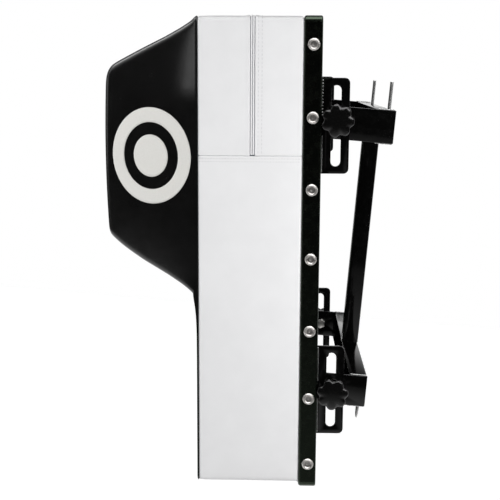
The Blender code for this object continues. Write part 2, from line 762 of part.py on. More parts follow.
def make_arms():
    """Four flat arms that carry the bolts, welded to the ends of the channels."""
    levels = (
        ("upper", UPPER_ARM_REACH, 0.0, UPPER_BOLT_RISE),
        ("lower", LOWER_ARM_REACH, LOWER_CHANNEL_Z, LOWER_CHANNEL_Z),
    )
    for level, reach, middle, bolt_z in levels:
        low = (-reach - ARM_NOSE, middle - HALF_ARM)
        high = (0, middle + HALF_ARM)
        outline = rounded_box(low, high, (ARM_CORNER, 0, 0, ARM_CORNER))
        hole = circle((-reach, bolt_z), BOLT_HOLE_RADIUS, BOLT_STEPS)
        for side, sign in SIDES:
            name = "arm_%s_%s" % (level, side)
            place = (sign * (ARM_INNER + ARM_THICKNESS / 2), 0, 0)
            add_object(
                name, plate_data(name, (outline, hole), ARM_THICKNESS), "powder_coat", None, place, ACROSS)


def pin_notch(name, middle, edge, away):
    """A notch in the channel's edge, open to the wall, that a pin stands in."""
    half = PIN_RADIUS + CLEARANCE
    floor = arc((middle, -half), half, math.pi, 2 * math.pi, BOLT_STEPS // 2)
    outline = [(middle - half, CUT_MARGIN)] + floor + [(middle + half, CUT_MARGIN)]
    levels = (edge - away * PIN_SEAT, edge + away * CUT_MARGIN)
    notch = strip_bm([[(x, y, z) for x, y in outline] for z in levels], closed=True)[0]
    bmesh.ops.holes_fill(notch, edges=notch.edges, sides=0)
    return finish_mesh(name, notch)


def channel_cutter(name, middle, away):
    """Anchor holes through the web and the pins' notches in one edge, which is up or down."""
    bm = bmesh.new()
    for sign in (1, -1):
        anchor = (sign * ANCHOR_SPACING / 2, 0, middle)
        cylinder_bm(bm, ANCHOR_HOLE_RADIUS, 4 * CHANNEL_WALL, anchor, BOLT_STEPS, "Y")
        bm.from_mesh(pin_notch("pin_notch", sign * PIN_SPACING / 2, middle + away * HALF_ARM, away))
    bmesh.ops.recalc_face_normals(bm, faces=bm.faces)
    return add_cutter(name, finish_mesh(name, bm))


def make_channels():
    """Two C channels between the arms: web to the wall, open towards the pad."""
    half = ARM_INNER - CLEARANCE
    for level, middle, away in (("upper", 0.0, 1), ("lower", LOWER_CHANNEL_Z, -1)):
        profile = (
            (-CHANNEL_DEPTH, middle + HALF_ARM),
            (0, middle + HALF_ARM),
            (0, middle - HALF_ARM),
            (-CHANNEL_DEPTH, middle - HALF_ARM),
        )
        bm = strip_bm([[(x, y, z) for y, z in profile] for x in (-half, half)])[0]
        bends = [edge for edge in bm.edges if not edge.is_boundary]
        bmesh.ops.bevel(
            bm, geom=bends, offset=CHANNEL_BEND, offset_type="OFFSET", segments=3, profile=0.5,
            affect="EDGES")
        name = level + "_channel"
        channel = add_object(name, finish_mesh(name, bm), "powder_coat")
        add_thickness(channel, CHANNEL_WALL)
        add_boolean(channel, channel_cutter(name + "_holes", middle, away))


def make_post():
    """The tube between the two channels, flush with their wall side."""
    low = LOWER_CHANNEL_Z + HALF_ARM + CLEARANCE
    high = -HALF_ARM - CLEARANCE
    half = POST_WIDTH / 2
    deep = POST_DEPTH / 2
    inner = half - POST_WALL
    back = deep - POST_WALL
    outer = rounded_box((-half, -deep), (half, deep), (POST_CORNER,) * 4, 2)
    bore = rounded_box((-inner, -back), (inner, back), (POST_CORNER - POST_WALL,) * 4, 2)
    data = plate_data("center_post", (outer, bore), high - low)
    add_object("center_post", data, "powder_coat", None, (0, -deep, (low + high) / 2))


def make_pins():
    """Steel pins in the notches: two stand up from the upper channel, two hang pointed from the lower."""
    foot = CLEARANCE - PIN_SEAT
    seat = ((PIN_RADIUS, foot), (0.0, foot))
    blunt = ((0.0, PIN_LENGTH), (PIN_RADIUS - PIN_BLUNT, PIN_LENGTH), (PIN_RADIUS, PIN_LENGTH - PIN_BLUNT))
    pointed = ((0.0, PIN_LENGTH), (PIN_RADIUS, PIN_LENGTH - PIN_POINT))
    levels = (("upper", blunt, HALF_ARM, 0.0), ("lower", pointed, LOWER_CHANNEL_Z - HALF_ARM, math.pi))
    for level, end, z, turn in levels:
        for side, sign in SIDES:
            name = "pin_%s_%s" % (level, side)
            place = (sign * PIN_SPACING / 2, -(PIN_RADIUS + CLEARANCE), z)
            pin = add_object(name, turned_mesh(name, end + seat), "zinc", None, place, (turn, 0, 0))
            add_turning(pin, BOLT_STEPS)


clear_scene()
PARTS, CUTTERS = make_collections()
PAD = add_empty("pad_frame", (0, PAD_BASE_Y, PAD_BASE_Z), (TILT, 0, 0))
make_channels()
make_arms()
make_post()
make_pins()
make_clamps()
screw_holes = screw_hole_cutter()
make_tray(screw_holes)
make_board(screw_holes)
make_screws()
make_ears()
make_core_foam(zip_groove())
make_head_foam()
make_cover_front()
make_bands()
make_zipper()
make_slider()
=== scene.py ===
"""Dresses the wall punching target: leather cover, zipper, stitching, hardware, studio, camera.

Units are metres. Pieces of the pad are made in the pad's own frame (y = 0 at the tray's back,
z = 0 at the pad's underside) and are then laid into the shared frame by PAD_FRAME.
"""
import math

import bmesh
import bpy
from mathutils import Matrix, Vector
from mathutils.bvhtree import BVHTree


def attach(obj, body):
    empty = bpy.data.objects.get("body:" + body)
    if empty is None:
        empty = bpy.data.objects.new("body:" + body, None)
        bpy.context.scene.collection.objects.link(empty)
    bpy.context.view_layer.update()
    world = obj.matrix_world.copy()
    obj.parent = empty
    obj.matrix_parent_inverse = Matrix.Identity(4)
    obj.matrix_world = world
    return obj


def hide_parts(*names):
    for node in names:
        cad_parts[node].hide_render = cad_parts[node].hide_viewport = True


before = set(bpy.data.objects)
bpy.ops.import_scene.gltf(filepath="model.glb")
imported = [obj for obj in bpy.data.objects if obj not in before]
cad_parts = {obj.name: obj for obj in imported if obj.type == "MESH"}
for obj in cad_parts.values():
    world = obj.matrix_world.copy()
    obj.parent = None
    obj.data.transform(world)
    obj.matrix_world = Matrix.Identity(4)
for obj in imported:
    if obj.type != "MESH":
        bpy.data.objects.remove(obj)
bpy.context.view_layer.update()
SCENE = bpy.context.scene

SIDES = (("right", 1), ("left", -1))
TINY = 1e-6

# The pad and its head
PAD_BASE = (-0.069821, -0.591015)
TILT = 0.078418
PAD_FRAME = Matrix.Translation((0, *PAD_BASE)) @ Matrix.Rotation(TILT, 4, "X")
HALF_PAD = 0.247
PAD_HEIGHT = 0.7537
PAD_DEPTH = 0.1955
PAD_CORNER = 0.01
HEAD_BASE_LOW = 0.3167
HEAD_FRONT_LOW = 0.4007
HEAD_FRONT_HIGH = 0.675
HEAD_HALF_FRONT = 0.1588
HEAD_REACH = 0.154
HEAD_EDGE = 0.008
HEAD_TOP_EDGE = 0.018
HEAD_LOW_EDGE = 0.004
HEAD_CORNER = 0.012
SMALLEST_CORNER = 0.002

# Seams, zipper and stitches
LEATHER = 0.0016
LEATHER_SKIN = LEATHER * 0.8
GAP = 0.0003
SEAM_WRAP = 0.003
SEAM_SINK = 0.0012
BAND_SEAM_Z = 0.5397
SEAM_STITCH_DROPS = (0.0044, 0.0091)
SEAM_STITCH_ENDS = (-0.1895, -0.0345)
ZIP_Y = -0.1075
ZIP_OPENING = 0.0078
ZIP_FOOT = 0.002
TAPE_ROWS = (-0.0105, -0.0055, -0.0026, -0.0003, 0.0003, 0.0026, 0.0055, 0.0105)
TAPE_SINK = 0.0014
TAPE_GROOVE = 0.002
TAPE_GROOVE_HALF = 0.001
TAPE_THICKNESS = 0.0006
COIL_ROWS = (-0.00165, 0.00165)
COIL_RISE = 0.0004
COIL_FOOT = 0.003
ZIP_STITCH_ROWS = (0.009, 0.0146)
ZIP_STITCH_FOOT = 0.006
STITCH_LIFT = 0.0001

# Tray, bracket and hardware
TRAY_DEPTH = 0.029
TUCK_INSET = 0.0049
TRAY_RISE = 0.0009
TRAY_DROP = 0.0082
SCREW_FROM_BACK = 0.0137
SCREW_HEIGHTS = (0.7108, 0.5992, 0.4867, 0.3761, 0.2581, 0.1452, 0.0331)
EAR_OUTER = 0.2242
EAR_SPANS = ((0.5106, 0.6606), (0.0784, 0.2284))
ARM_INNER = 0.2159
HALF_ARM = 0.026
LOWER_CHANNEL_Z = -0.435046
CHANNEL_DEPTH = 0.029
EAR_WELD_ENDS = (0.004, 0.058)
EAR_WELD_Y = 0.0018
WELD_OUT = 0.0004
CHANNEL_WELD_ENDS = (-CHANNEL_DEPTH + 0.002, -0.003)
CHANNEL_WELD_OUT = 0.0002
PIN_RADIUS = 0.003
PIN_EXTRA = 0.002

# How wide edges are eased, and the angles that count as flat, as an edge and as sharp
SMALL_EASE = 0.0003
EASE = 0.0004
BOLT_EASE = 0.0005
PLATE_EASE = 0.0006
FLAT_ANGLE = math.radians(1)
EDGE_ANGLE = math.radians(34)
SHARP_ANGLE = math.radians(40)

# Radius and height of turned pieces, point by point
PIN_POINT = (
    (0.0, 0.0), (0.0011, 0.0012), (0.0019, 0.0036), (0.0025, 0.007), (0.0029, 0.0105),
    (PIN_RADIUS, 0.014))
CUP_PROFILE = (
    (0.0047, 0.0002), (0.005, 0.0008), (0.0056, 0.0015), (0.0062, 0.0021), (0.0069, 0.0025),
    (0.0076, 0.0024), (0.0084, 0.0019), (0.009, 0.0012), (0.0095, 0.0005), (0.0096, 0.0003),
    (0.0094, 0.0002), (0.0047, 0.0002))
SCREW_PROFILE = (
    (0.0, -0.0026), (0.001, -0.0022), (0.0016, 0.0002), (0.002, 0.0004), (0.0032, 0.0004),
    (0.0042, 0.0006), (0.0048, 0.0007), (0.0046, 0.0001), (0.0022, -0.0042), (0.0021, -0.02),
    (0.0, -0.024))
KNOB_PROFILE = (
    (0.0, 0.0008), (0.01, 0.0008), (0.0118, 0.0003), (0.0125, 0.0012), (0.0125, 0.0092),
    (0.0132, 0.0103), (0.0165, 0.0128), (0.0205, 0.0162), (0.0236, 0.0192), (0.025, 0.0205),
    (0.0258, 0.0216), (0.026, 0.023), (0.026, 0.0246), (0.0257, 0.0257), (0.025, 0.0266),
    (0.024, 0.0272), (0.0224, 0.0278), (0.019, 0.0286), (0.015, 0.0292), (0.01, 0.0297),
    (0.005, 0.0299), (0.0, 0.03))
RECESS_RADIUS = 0.0019
RECESS_FLOOR = -0.004

# The star knobs: y, z and turn in degrees at each level, and their lobes
KNOB_INNER = 0.2273
KNOB_PLACES = {"upper": (-0.0917, 0.004, 104), "lower": (-0.0572, LOWER_CHANNEL_Z, -90)}
KNOB_LOBES = 7
LOBE_DEPTH = 0.0042
LOBE_START = 0.0125
LOBE_GROWTH = 0.01
LOBE_FOOT = 0.0105
LOBE_SHARPNESS = 1.8
LOBE_STEPS = 14

# What repeats along a line
BEAD_SIZES = ("Pitch", "Length", "Width", "Height", "Unevenness")
BEADS = {
    "zip_coil": (0.0016, 0.0028, 0.0026, 0.002, 0.0),
    "zip_stitches": (0.0062, 0.0044, 0.0009, 0.0009, 0.0),
    "seam_stitches": (0.0044, 0.0032, 0.0009, 0.0009, 0.0),
    "ear_welds_coarse": (0.0047, 0.0034, 0.0034, 0.0034, 0.35),
    "ear_welds_fine": (0.0022, 0.0046, 0.0022, 0.0022, 0.35),
    "channel_welds": (0.0026, 0.0044, 0.004, 0.004, 0.25),
}
UNEVEN_SEED = 7

# The printed mark: its radii, its middle on the head's sides and front, and its mesh
MARK_RING = (0.0537, 0.0772)
MARK_DISC = (0.0, 0.0339)
SIDE_MARK_Z = 0.5357
SIDE_MARK_OUT = 0.0866
FRONT_MARK_Z = 0.5379
MARK_LIFT = 0.00025
MARK_STEP = 0.004
MARK_TURNS = 96

# How the leather is stretched, and over what distance each fold and sag fades
FOLD_CORNER = 0.008
FOLD_LIFT = 0.0058
FOLD_FADE_OUT = 0.03
FOLD_FADE_UP = 0.012
FOLD_FADE_DOWN = 0.026
FOLD_ROUNDNESS = 1.3
FRONT_BOW = 0.004
BELLY_FADE = 0.035
SAG_FADE = 0.03
HEAD_BELLY = (
    (0.0, 0.0), (0.05, 0.0025), (0.14, 0.0053), (0.28, 0.006), (0.41, 0.0055),
    (0.67, 0.0014), (0.85, 0.0))
HEAD_SAG = (
    (0.0, 0.0), (0.2, 0.0006), (0.43, 0.0021), (0.67, 0.0046), (0.85, 0.005),
    (0.95, 0.0037), (1.0, 0.0004))
FOAM_INSET = 0.0028
LEATHER_CLOTH = {
    "quality": 6, "mass": 0.3, "tension_stiffness": 30, "compression_stiffness": 30,
    "shear_stiffness": 10, "bending_stiffness": 1.0, "use_pressure": True,
}
CLOTH_FRAMES = 20

# Where the leather's mesh has its rows, and the lines of stitches have their points
SIDE_STEPS = 40
ACROSS_STEPS = 44
CORNER_STEPS = 5
UPPER_STEPS = 20
LOWER_STEPS = 48
LINE_SIDE_STEPS = 24
LINE_TOP_STEPS = 50
SEAM_STITCH_STEPS = 40
HEAD_DEPTHS = (
    HEAD_REACH, HEAD_REACH - 0.0035, *(HEAD_REACH * i / 19 for i in range(18, 1, -1)),
    0.012, 0.0085, 0.0056, 0.0032, 0.0014, 0.0003, 0)
FOAM_DEPTHS = (*(HEAD_REACH * i / 12 for i in range(12, 0, -1)), 0.0085, 0.0032, 0.0)
CAP_INSETS = (0.004, 0.01, 0.018, 0.028, 0.04, 0.053, 0.067, 0.082, 0.098, 0.113, 0.124)
FRONT_SHARES = (
    0, 0.006, 0.02, 0.045, 0.08, *(0.08 + 0.87 * i / 22 for i in range(1, 23)), 0.975, 0.99, 1)
FRONT_ROLL = ((0.0016, 0.0), (SEAM_WRAP - GAP, SEAM_SINK * 0.5), (SEAM_WRAP, SEAM_SINK + LEATHER))
BAND_ENDS = (0.0, 0.0012, 0.0035)
BAND_END_SINKS = (SEAM_SINK, SEAM_SINK * 0.45, 0.0)
BAND_FRONT = (
    (0.0, SEAM_SINK + 0.0006), (0.0007, SEAM_SINK * 0.85), (0.0024, 0.0007), (0.0062, 0.0003),
    (0.013, 0.0))
ZIP_LIP = (
    (0.0, -0.0004), (0.0007, -0.0011), (0.0018, -0.0013), (0.004, -0.0008), (0.0075, -0.0002),
    (0.0115, 0.0))
TUCK = (
    (-0.008, 0.0), (-0.004, 0.03), (-0.0022, 0.14), (-0.0012, 0.4), (-0.0006, 1.0), (0.008, 1.0))

# Lamps: place, target, size, watts, and true for a card that only gloss sees
LAMPS = {
    "key": ((0.78, 0.58, -0.10), (0.247, -0.15, -0.10), (0.5, 0.5), 6.1, False),
    "overhead": ((0.25, -0.35, 1.9), (0, -0.15, 0), (1.8, 1.2), 1.5, False),
    "front_fill": ((0.90, -2.20, 0.30), (0, -0.30, -0.05), (1.0, 1.2), 21, False),
    "side_card": ((0.32, -0.437, 0.095), (0.235, -0.265, 0.11), (0.04, 0.15), 0.036, True),
}

# How bright the surround is by direction: where a change starts and ends, and its two levels
SKY = (0.2, 1.0, 0.47, 0.36)
GROUND = (-0.27, -0.95, 0.0, 1.1)
HORIZON = (-0.26, -0.32, 0.0, 0.14)
SCREEN = (("X", 0.1, -0.15, 0.0, 1.0), ("Z", 0.35, 0.65, 1.0, 0.08), ("Y", -0.08, 0.04, 0.04, 1.0))
SEEING_RAYS = ("Is Camera Ray", "Is Glossy Ray", "Is Transmission Ray")
FLOOR_GLOW = 0.62

# Panels that only gloss sees: direction, cosines where one starts and is full, and its level
PANELS = (
    ((-0.15, -0.98, 0.0), 0.965, 0.995, 1.5),
    ((0.25, 0.0, 0.97), 0.79, 0.91, 4.4),
    ((-0.36, -0.76, 0.54), 0.975, 0.995, 6.0),
    ((-0.15, -0.85, 0.5), 0.86, 0.97, 1.2),
    ((0.55, 0.6, 0.58), 0.94, 0.98, 5.0),
)


# Colours and materials

def linear(code):
    """An sRGB hex colour as linear RGBA."""
    parts = [int(code[i:i + 2], 16) / 255 for i in (1, 3, 5)]
    return tuple(p / 12.92 if p <= 0.04045 else ((p + 0.055) / 1.055) ** 2.4 for p in parts) + (1.0,)


def add_node(tree, kind, inputs=None, **settings):
    """A node with its settings. An input is a value, or the output that feeds it."""
    node = tree.nodes.new(kind)
    for name, value in settings.items():
        setattr(node, name, value)
    for name, value in (inputs or {}).items():
        if isinstance(value, bpy.types.NodeSocket):
            tree.links.new(value, node.inputs[name])
        else:
            node.inputs[name].default_value = value
    return node


def start_material(name, **sockets):
    """A material with its fixed values, ready for the patterns that feed the rest."""
    material = bpy.data.materials.new(name)
    material.use_nodes = True
    tree = material.node_tree
    for socket, value in sockets.items():
        tree.nodes["Principled BSDF"].inputs[socket.replace("_", " ")].default_value = value
    return material, tree, add_node(tree, "ShaderNodeTexCoord").outputs["Object"]


def feed(material, links):
    """The material with outputs linked to its shader's named sockets."""
    tree = material.node_tree
    for name, socket in links.items():
        tree.links.new(socket, tree.nodes["Principled BSDF"].inputs[name])
    return material


def combine(tree, operation, first, *others):
    """One number from several, such as their product or the largest."""
    for other in others:
        first = add_node(tree, "ShaderNodeMath", {0: first, 1: other}, operation=operation).outputs[0]
    return first


def mottle(tree, place, size, detail=3.0):
    """Noise whose blotches are about the given size."""
    inputs = {"Vector": place, "Scale": 1 / size, "Detail": detail}
    return add_node(tree, "ShaderNodeTexNoise", inputs).outputs["Fac"]


def tint(tree, share, first, second, low=0.35, high=0.65):
    """A colour between two hex colours."""
    ramp = add_node(tree, "ShaderNodeValToRGB", {"Fac": share})
    ends = ramp.color_ramp.elements
    ends[0].position, ends[1].position = low, high
    ends[0].color, ends[1].color = linear(first), linear(second)
    return ramp.outputs["Color"]


def between(tree, share, low, high):
    """A number between two others."""
    inputs = {"Value": share, "To Min": low, "To Max": high}
    return add_node(tree, "ShaderNodeMapRange", inputs).outputs["Result"]


def relief(tree, height, depth, under=None):
    """Bump of a real depth, on top of another bump."""
    inputs = {"Height": height, "Distance": depth, "Strength": 1.0}
    if under:
        inputs["Normal"] = under
    return add_node(tree, "ShaderNodeBump", inputs).outputs["Normal"]


def leather(name, dark, light, roughness, pebble, pebble_depth, crease_depth):
    """Polyurethane-coated leather, embossed: soft gloss, fine pebble, faint creases and mottling."""
    material, tree, place = start_material(name, Metallic=0.0, IOR=1.48)
    cells = add_node(tree, "ShaderNodeTexVoronoi", {"Vector": place, "Scale": 1 / pebble})
    creases = relief(tree, mottle(tree, place, 0.03, 5.0), crease_depth)
    return feed(material, {
        "Base Color": tint(tree, mottle(tree, place, 0.045), dark, light),
        "Roughness": between(tree, mottle(tree, place, 0.018), roughness - 0.05, roughness + 0.05),
        "Normal": relief(tree, cells.outputs["Distance"], pebble_depth, creases),
    })


def coated_steel(name, dark, light, roughness, peel, shine=(1, 1, 1, 1)):
    """Powder coat, sprayed and baked: hard gloss over a fine orange peel, with thin scuffs."""
    material, tree, place = start_material(
        name, Metallic=0.0, IOR=1.5, Specular_Tint=shine)
    scuffs = mottle(tree, place, 0.009, 6.0)
    return feed(material, {
        "Base Color": tint(tree, scuffs, dark, light, 0.45, 0.8),
        "Roughness": between(tree, scuffs, roughness * 0.8, roughness * 1.4),
        "Normal": relief(tree, mottle(tree, place, 0.0022, 1.0), peel),
    })


def plated_steel(name, dark, light, roughness, grain=0.0012, metallic=1.0):
    """Plated steel: bright metal with faint turning marks; a passivated one is partly milky."""
    material, tree, place = start_material(name, Metallic=metallic)
    marks = mottle(tree, place, grain, 2.0)
    return feed(material, {
        "Base Color": tint(tree, marks, dark, light),
        "Roughness": between(tree, marks, roughness - 0.05, roughness + 0.08),
        "Normal": relief(tree, marks, 0.00002),
    })


def moulded_plastic(name, dark, light, roughness, texture, depth):
    """Moulded plastic: even colour, the mould's fine skin in the gloss."""
    material, tree, place = start_material(name, Metallic=0.0, IOR=1.5)
    skin = mottle(tree, place, texture, 2.0)
    return feed(material, {
        "Base Color": tint(tree, skin, dark, light),
        "Roughness": between(tree, skin, roughness - 0.04, roughness + 0.06),
        "Normal": relief(tree, skin, depth),
    })


def woven(name, dark, light, thread):
    """Woven polyester tape: dull, with the weave's ribs across it."""
    material, tree, place = start_material(name, Metallic=0.0, Roughness=0.8, Sheen_Weight=0.2)
    inputs = {"Vector": place, "Scale": 0.5 / thread}
    ribs = add_node(tree, "ShaderNodeTexWave", inputs, bands_direction="DIAGONAL").outputs["Fac"]
    return feed(material, {
        "Base Color": tint(tree, ribs, dark, light),
        "Normal": relief(tree, ribs, 0.0001),
    })


def veneer(name):
    """Birch plywood: pale face with stretched grain."""
    material, tree, place = start_material(name, Metallic=0.0, Roughness=0.65)
    along = add_node(tree, "ShaderNodeMapping", {"Vector": place, "Scale": (1.0, 1.0, 0.08)})
    grain = mottle(tree, along.outputs["Vector"], 0.006, 6.0)
    return feed(material, {
        "Base Color": tint(tree, grain, "#B08A5A", "#D8BC8C"),
        "Normal": relief(tree, grain, 0.0001),
    })


def open_foam(name):
    """Polyurethane foam, cut: matt, full of small open cells."""
    material, tree, place = start_material(name, Metallic=0.0, Roughness=0.95)
    inputs = {"Vector": place, "Scale": 1 / 0.002}
    cells = add_node(tree, "ShaderNodeTexVoronoi", inputs).outputs["Distance"]
    return feed(material, {
        "Base Color": tint(tree, cells, "#5C6066", "#8B9096", 0.1, 0.6),
        "Normal": relief(tree, cells, 0.0004),
    })


BLACK_LEATHER = leather("black_pu_leather", "#090909", "#0E0E0E", 0.25, 0.0016, 0.00003, 0.0004)
WHITE_LEATHER = leather("white_pu_leather", "#F2F2F3", "#F5F5F6", 0.42, 0.0016, 0.00003, 0.0002)
RING_VINYL = moulded_plastic("printed_vinyl", "#E4E3DE", "#EAE9E5", 0.6, 0.0016, 0.00003)
THREAD = moulded_plastic("bonded_nylon_thread", "#D6D6D8", "#E6E6E7", 0.55, 0.001, 0.0001)
ZIP_TAPE = woven("woven_zip_tape", "#C2C2CA", "#D4D4DA", 0.0012)
ZIP_COIL = moulded_plastic("nylon_zip_coil", "#F2F2F4", "#FAFAFA", 0.4, 0.001, 0.00004)
GREEN_SHINE = (0.76, 1.0, 0.71, 1.0)
TRAY_COAT = coated_steel("black_powder_coat_tray", "#030303", "#080807", 0.24, 0.00002, GREEN_SHINE)
ARM_COAT = coated_steel("black_powder_coat_bracket", "#060606", "#0D0D0D", 0.11, 0.000008)
# Painted highlight: the weld beads are black powder coat like the bracket, but they are given bright
# plated metal so that they show the glints of that glossy coat
WELD_GLINT_METAL = plated_steel("scuffed_weld_crests", "#8E8E8E", "#CACACA", 0.34)
CUP_NICKEL = plated_steel("bright_nickel", "#D6D2CE", "#E2DFDB", 0.42)
SCREW_ZINC = plated_steel("zinc_plated_screw", "#A8A4A2", "#C6C3C0", 0.42)
BOLT_ZINC = plated_steel("zinc_plated_bolt", "#C4C2BE", "#E0DEDA", 0.38)
PIN_ZINC = plated_steel("passivated_zinc_pin", "#C8C8C8", "#DEDEDE", 0.22, 0.004, 0.75)
KNOB_PLASTIC = moulded_plastic("moulded_black_nylon", "#080808", "#0E0E0E", 0.16, 0.0012, 0.00001)
PLYWOOD = veneer("birch_plywood")
FOAM = open_foam("cut_pu_foam")


# Pieces

def skin(name, bm, material, place=None):
    """A new piece from mesh code, at the origin, with its place in its mesh."""
    mesh = bpy.data.meshes.new(name)
    bm.to_mesh(mesh)
    bm.free()
    item = bpy.data.objects.new(name, mesh)
    SCENE.collection.objects.link(item)
    mesh.materials.append(material)
    for face in mesh.polygons:
        face.use_smooth = True
    if place:
        mesh.transform(place)
    return item


def settle(item, place=None):
    """Turns the piece with its modifiers into a plain mesh, and lays it in its place."""
    bpy.context.view_layer.update()
    evaluated = item.evaluated_get(bpy.context.evaluated_depsgraph_get())
    mesh = bpy.data.meshes.new_from_object(evaluated)
    item.modifiers.clear()
    item.vertex_groups.clear()
    old = item.data
    item.data = mesh
    bpy.data.meshes.remove(old)
    mesh.name = item.name
    if place:
        mesh.transform(place)


def modify(item, kind, **settings):
    modifier = item.modifiers.new(kind.lower(), kind)
    for name, value in settings.items():
        setattr(modifier, name, value)
    return modifier


def hand_over(item, body, nodes=()):
    """Gives a finished piece to its body and the nodes that it stands for."""
    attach(item, body)
    if nodes:
        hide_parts(*nodes)


def swell(item, held, pressure, most):
    """Cloth under air pressure, held at its seams. No point moves further than the given distance."""
    start = [vert.co.copy() for vert in item.data.vertices]
    group = item.vertex_groups.new(name="held")
    group.add(held, 1.0, "REPLACE")
    cloth = modify(item, "CLOTH")
    for name, value in LEATHER_CLOTH.items():
        setattr(cloth.settings, name, value)
    cloth.settings.uniform_pressure_force = pressure
    cloth.settings.vertex_group_mass = "held"
    cloth.settings.effector_weights.gravity = 0
    cloth.collision_settings.use_collision = False
    for number in range(1, CLOTH_FRAMES + 1):
        SCENE.frame_set(number)
    evaluated = item.evaluated_get(bpy.context.evaluated_depsgraph_get())
    moved = [vert.co.copy() for vert in evaluated.data.vertices]
    item.modifiers.clear()
    item.vertex_groups.clear()
    SCENE.frame_set(1)
    for vert, before, after in zip(item.data.vertices, start, moved):
        shift = after - before
        length = shift.length
        if length > TINY:
            shift *= most * math.tanh(length / most) / length
        vert.co = before + shift


def thicken(item):
    """Rounds the leather once and gives it its thickness, inwards."""
    modify(item, "SUBSURF", levels=1, render_levels=1)
    modify(item, "SOLIDIFY", thickness=LEATHER_SKIN, offset=-1.0)
    settle(item)


# The black front of the cover

def arc(x, z, radius, start):
    """A quarter turn of points about a centre."""
    turns = [start + math.pi / 2 * i / CORNER_STEPS for i in range(CORNER_STEPS + 1)]
    return [(x + radius * math.cos(t), z + radius * math.sin(t)) for t in turns]


def straight(first, second, steps):
    """The points between two ends, without the ends."""
    return [tuple(a + (b - a) * i / steps for a, b in zip(first, second)) for i in range(1, steps)]


def head_outline(half, low, high, fold, crown):
    """The head's outline from the left end of the fold, counter-clockwise seen from behind."""
    left_fold = arc(fold - half, low + fold, fold, math.pi)
    right_fold = arc(half - fold, low + fold, fold, 1.5 * math.pi)
    right_crown = arc(half - crown, high - crown, crown, 0)
    left_crown = arc(crown - half, high - crown, crown, math.pi / 2)
    points = left_fold + straight(left_fold[-1], right_fold[0], ACROSS_STEPS) + right_fold
    points += straight(right_fold[-1], right_crown[0], SIDE_STEPS) + right_crown
    points += straight(right_crown[-1], left_crown[0], ACROSS_STEPS) + left_crown
    return points + straight(left_crown[-1], left_fold[0], SIDE_STEPS)


def head_side(base, corner, edge, depth):
    """How far out one side of the head is, at a depth behind its front face."""
    lean = math.atan2(base - corner, HEAD_REACH)
    if depth >= edge * math.cos(lean):
        return corner + depth * math.tan(lean)
    radius = edge / math.tan((math.pi / 2 - lean) / 2)
    return corner - edge + math.sqrt(radius ** 2 - (radius - depth) ** 2)


def head_span(depth):
    """The head's lowest and highest z at a depth behind its front face."""
    low = -head_side(-HEAD_BASE_LOW, -HEAD_FRONT_LOW, HEAD_LOW_EDGE, depth)
    return low, head_side(PAD_HEIGHT, HEAD_FRONT_HIGH, HEAD_TOP_EDGE, depth)


def head_ring(depth, inset=0.0):
    """The head's outline at a depth behind its front face, moved in by the inset."""
    share = depth / HEAD_REACH
    half = head_side(HALF_PAD, HEAD_HALF_FRONT, HEAD_EDGE, depth) - inset
    low, high = head_span(depth)
    fold = max(HEAD_CORNER + (FOLD_CORNER - HEAD_CORNER) * share - inset, SMALLEST_CORNER)
    crown = max(HEAD_CORNER + (PAD_CORNER - HEAD_CORNER) * share - inset, SMALLEST_CORNER)
    y = depth - HEAD_REACH - PAD_DEPTH
    return [(x, y, z) for x, z in head_outline(half, low + inset, high - inset, fold, crown)]


def seam_point(x, z, inset):
    """A point of the pad's outline, moved in by the given distance."""
    near = Vector((
        min(max(x, PAD_CORNER - HALF_PAD), HALF_PAD - PAD_CORNER),
        min(max(z, PAD_CORNER), PAD_HEIGHT - PAD_CORNER),
    ))
    out = Vector((x, z)) - near
    if out.length < TINY:
        return x, z
    moved = Vector((x, z)) - out.normalized() * inset
    return moved.x, moved.y


def turn_outwards(bm):
    bmesh.ops.recalc_face_normals(bm, faces=bm.faces)


def join_rings(bm, rings):
    """Faces between closed rings of points."""
    for near, far in zip(rings, rings[1:]):
        for i in range(len(near)):
            j = (i + 1) % len(near)
            bm.faces.new((near[i], near[j], far[j], far[i]))


def join_rows(bm, rows):
    """Faces between open rows of points."""
    for near, far in zip(rows, rows[1:]):
        for i in range(len(near) - 1):
            bm.faces.new((near[i], far[i], far[i + 1], near[i + 1]))
    turn_outwards(bm)


def hang_front(bm, top):
    """The flat front below the head: a column of points down from each point of the fold."""
    grid = []
    for vert in top:
        x, z = vert.co.x, vert.co.z
        over = max(0, abs(x) - (HALF_PAD - PAD_CORNER))
        foot = PAD_CORNER - math.sqrt(max(PAD_CORNER ** 2 - over ** 2, 0))
        heights = [z + (foot - z) * share for share in FRONT_SHARES[1:]]
        grid.append([vert] + [bm.verts.new((x, -PAD_DEPTH, height)) for height in heights])
    for left, right in zip(grid, grid[1:]):
        for i in range(len(left) - 1):
            bm.faces.new((left[i], left[i + 1], right[i + 1], right[i]))
    return grid


def roll_back(bm, edge):
    """The leather's edge, rolled back into the seam."""
    rolls = []
    for along, inset in FRONT_ROLL:
        places = [seam_point(vert.co.x, vert.co.z, inset) for vert in edge]
        rolls.append([bm.verts.new((x, along - PAD_DEPTH, z)) for x, z in places])
    join_rings(bm, [edge] + rolls)
    return rolls


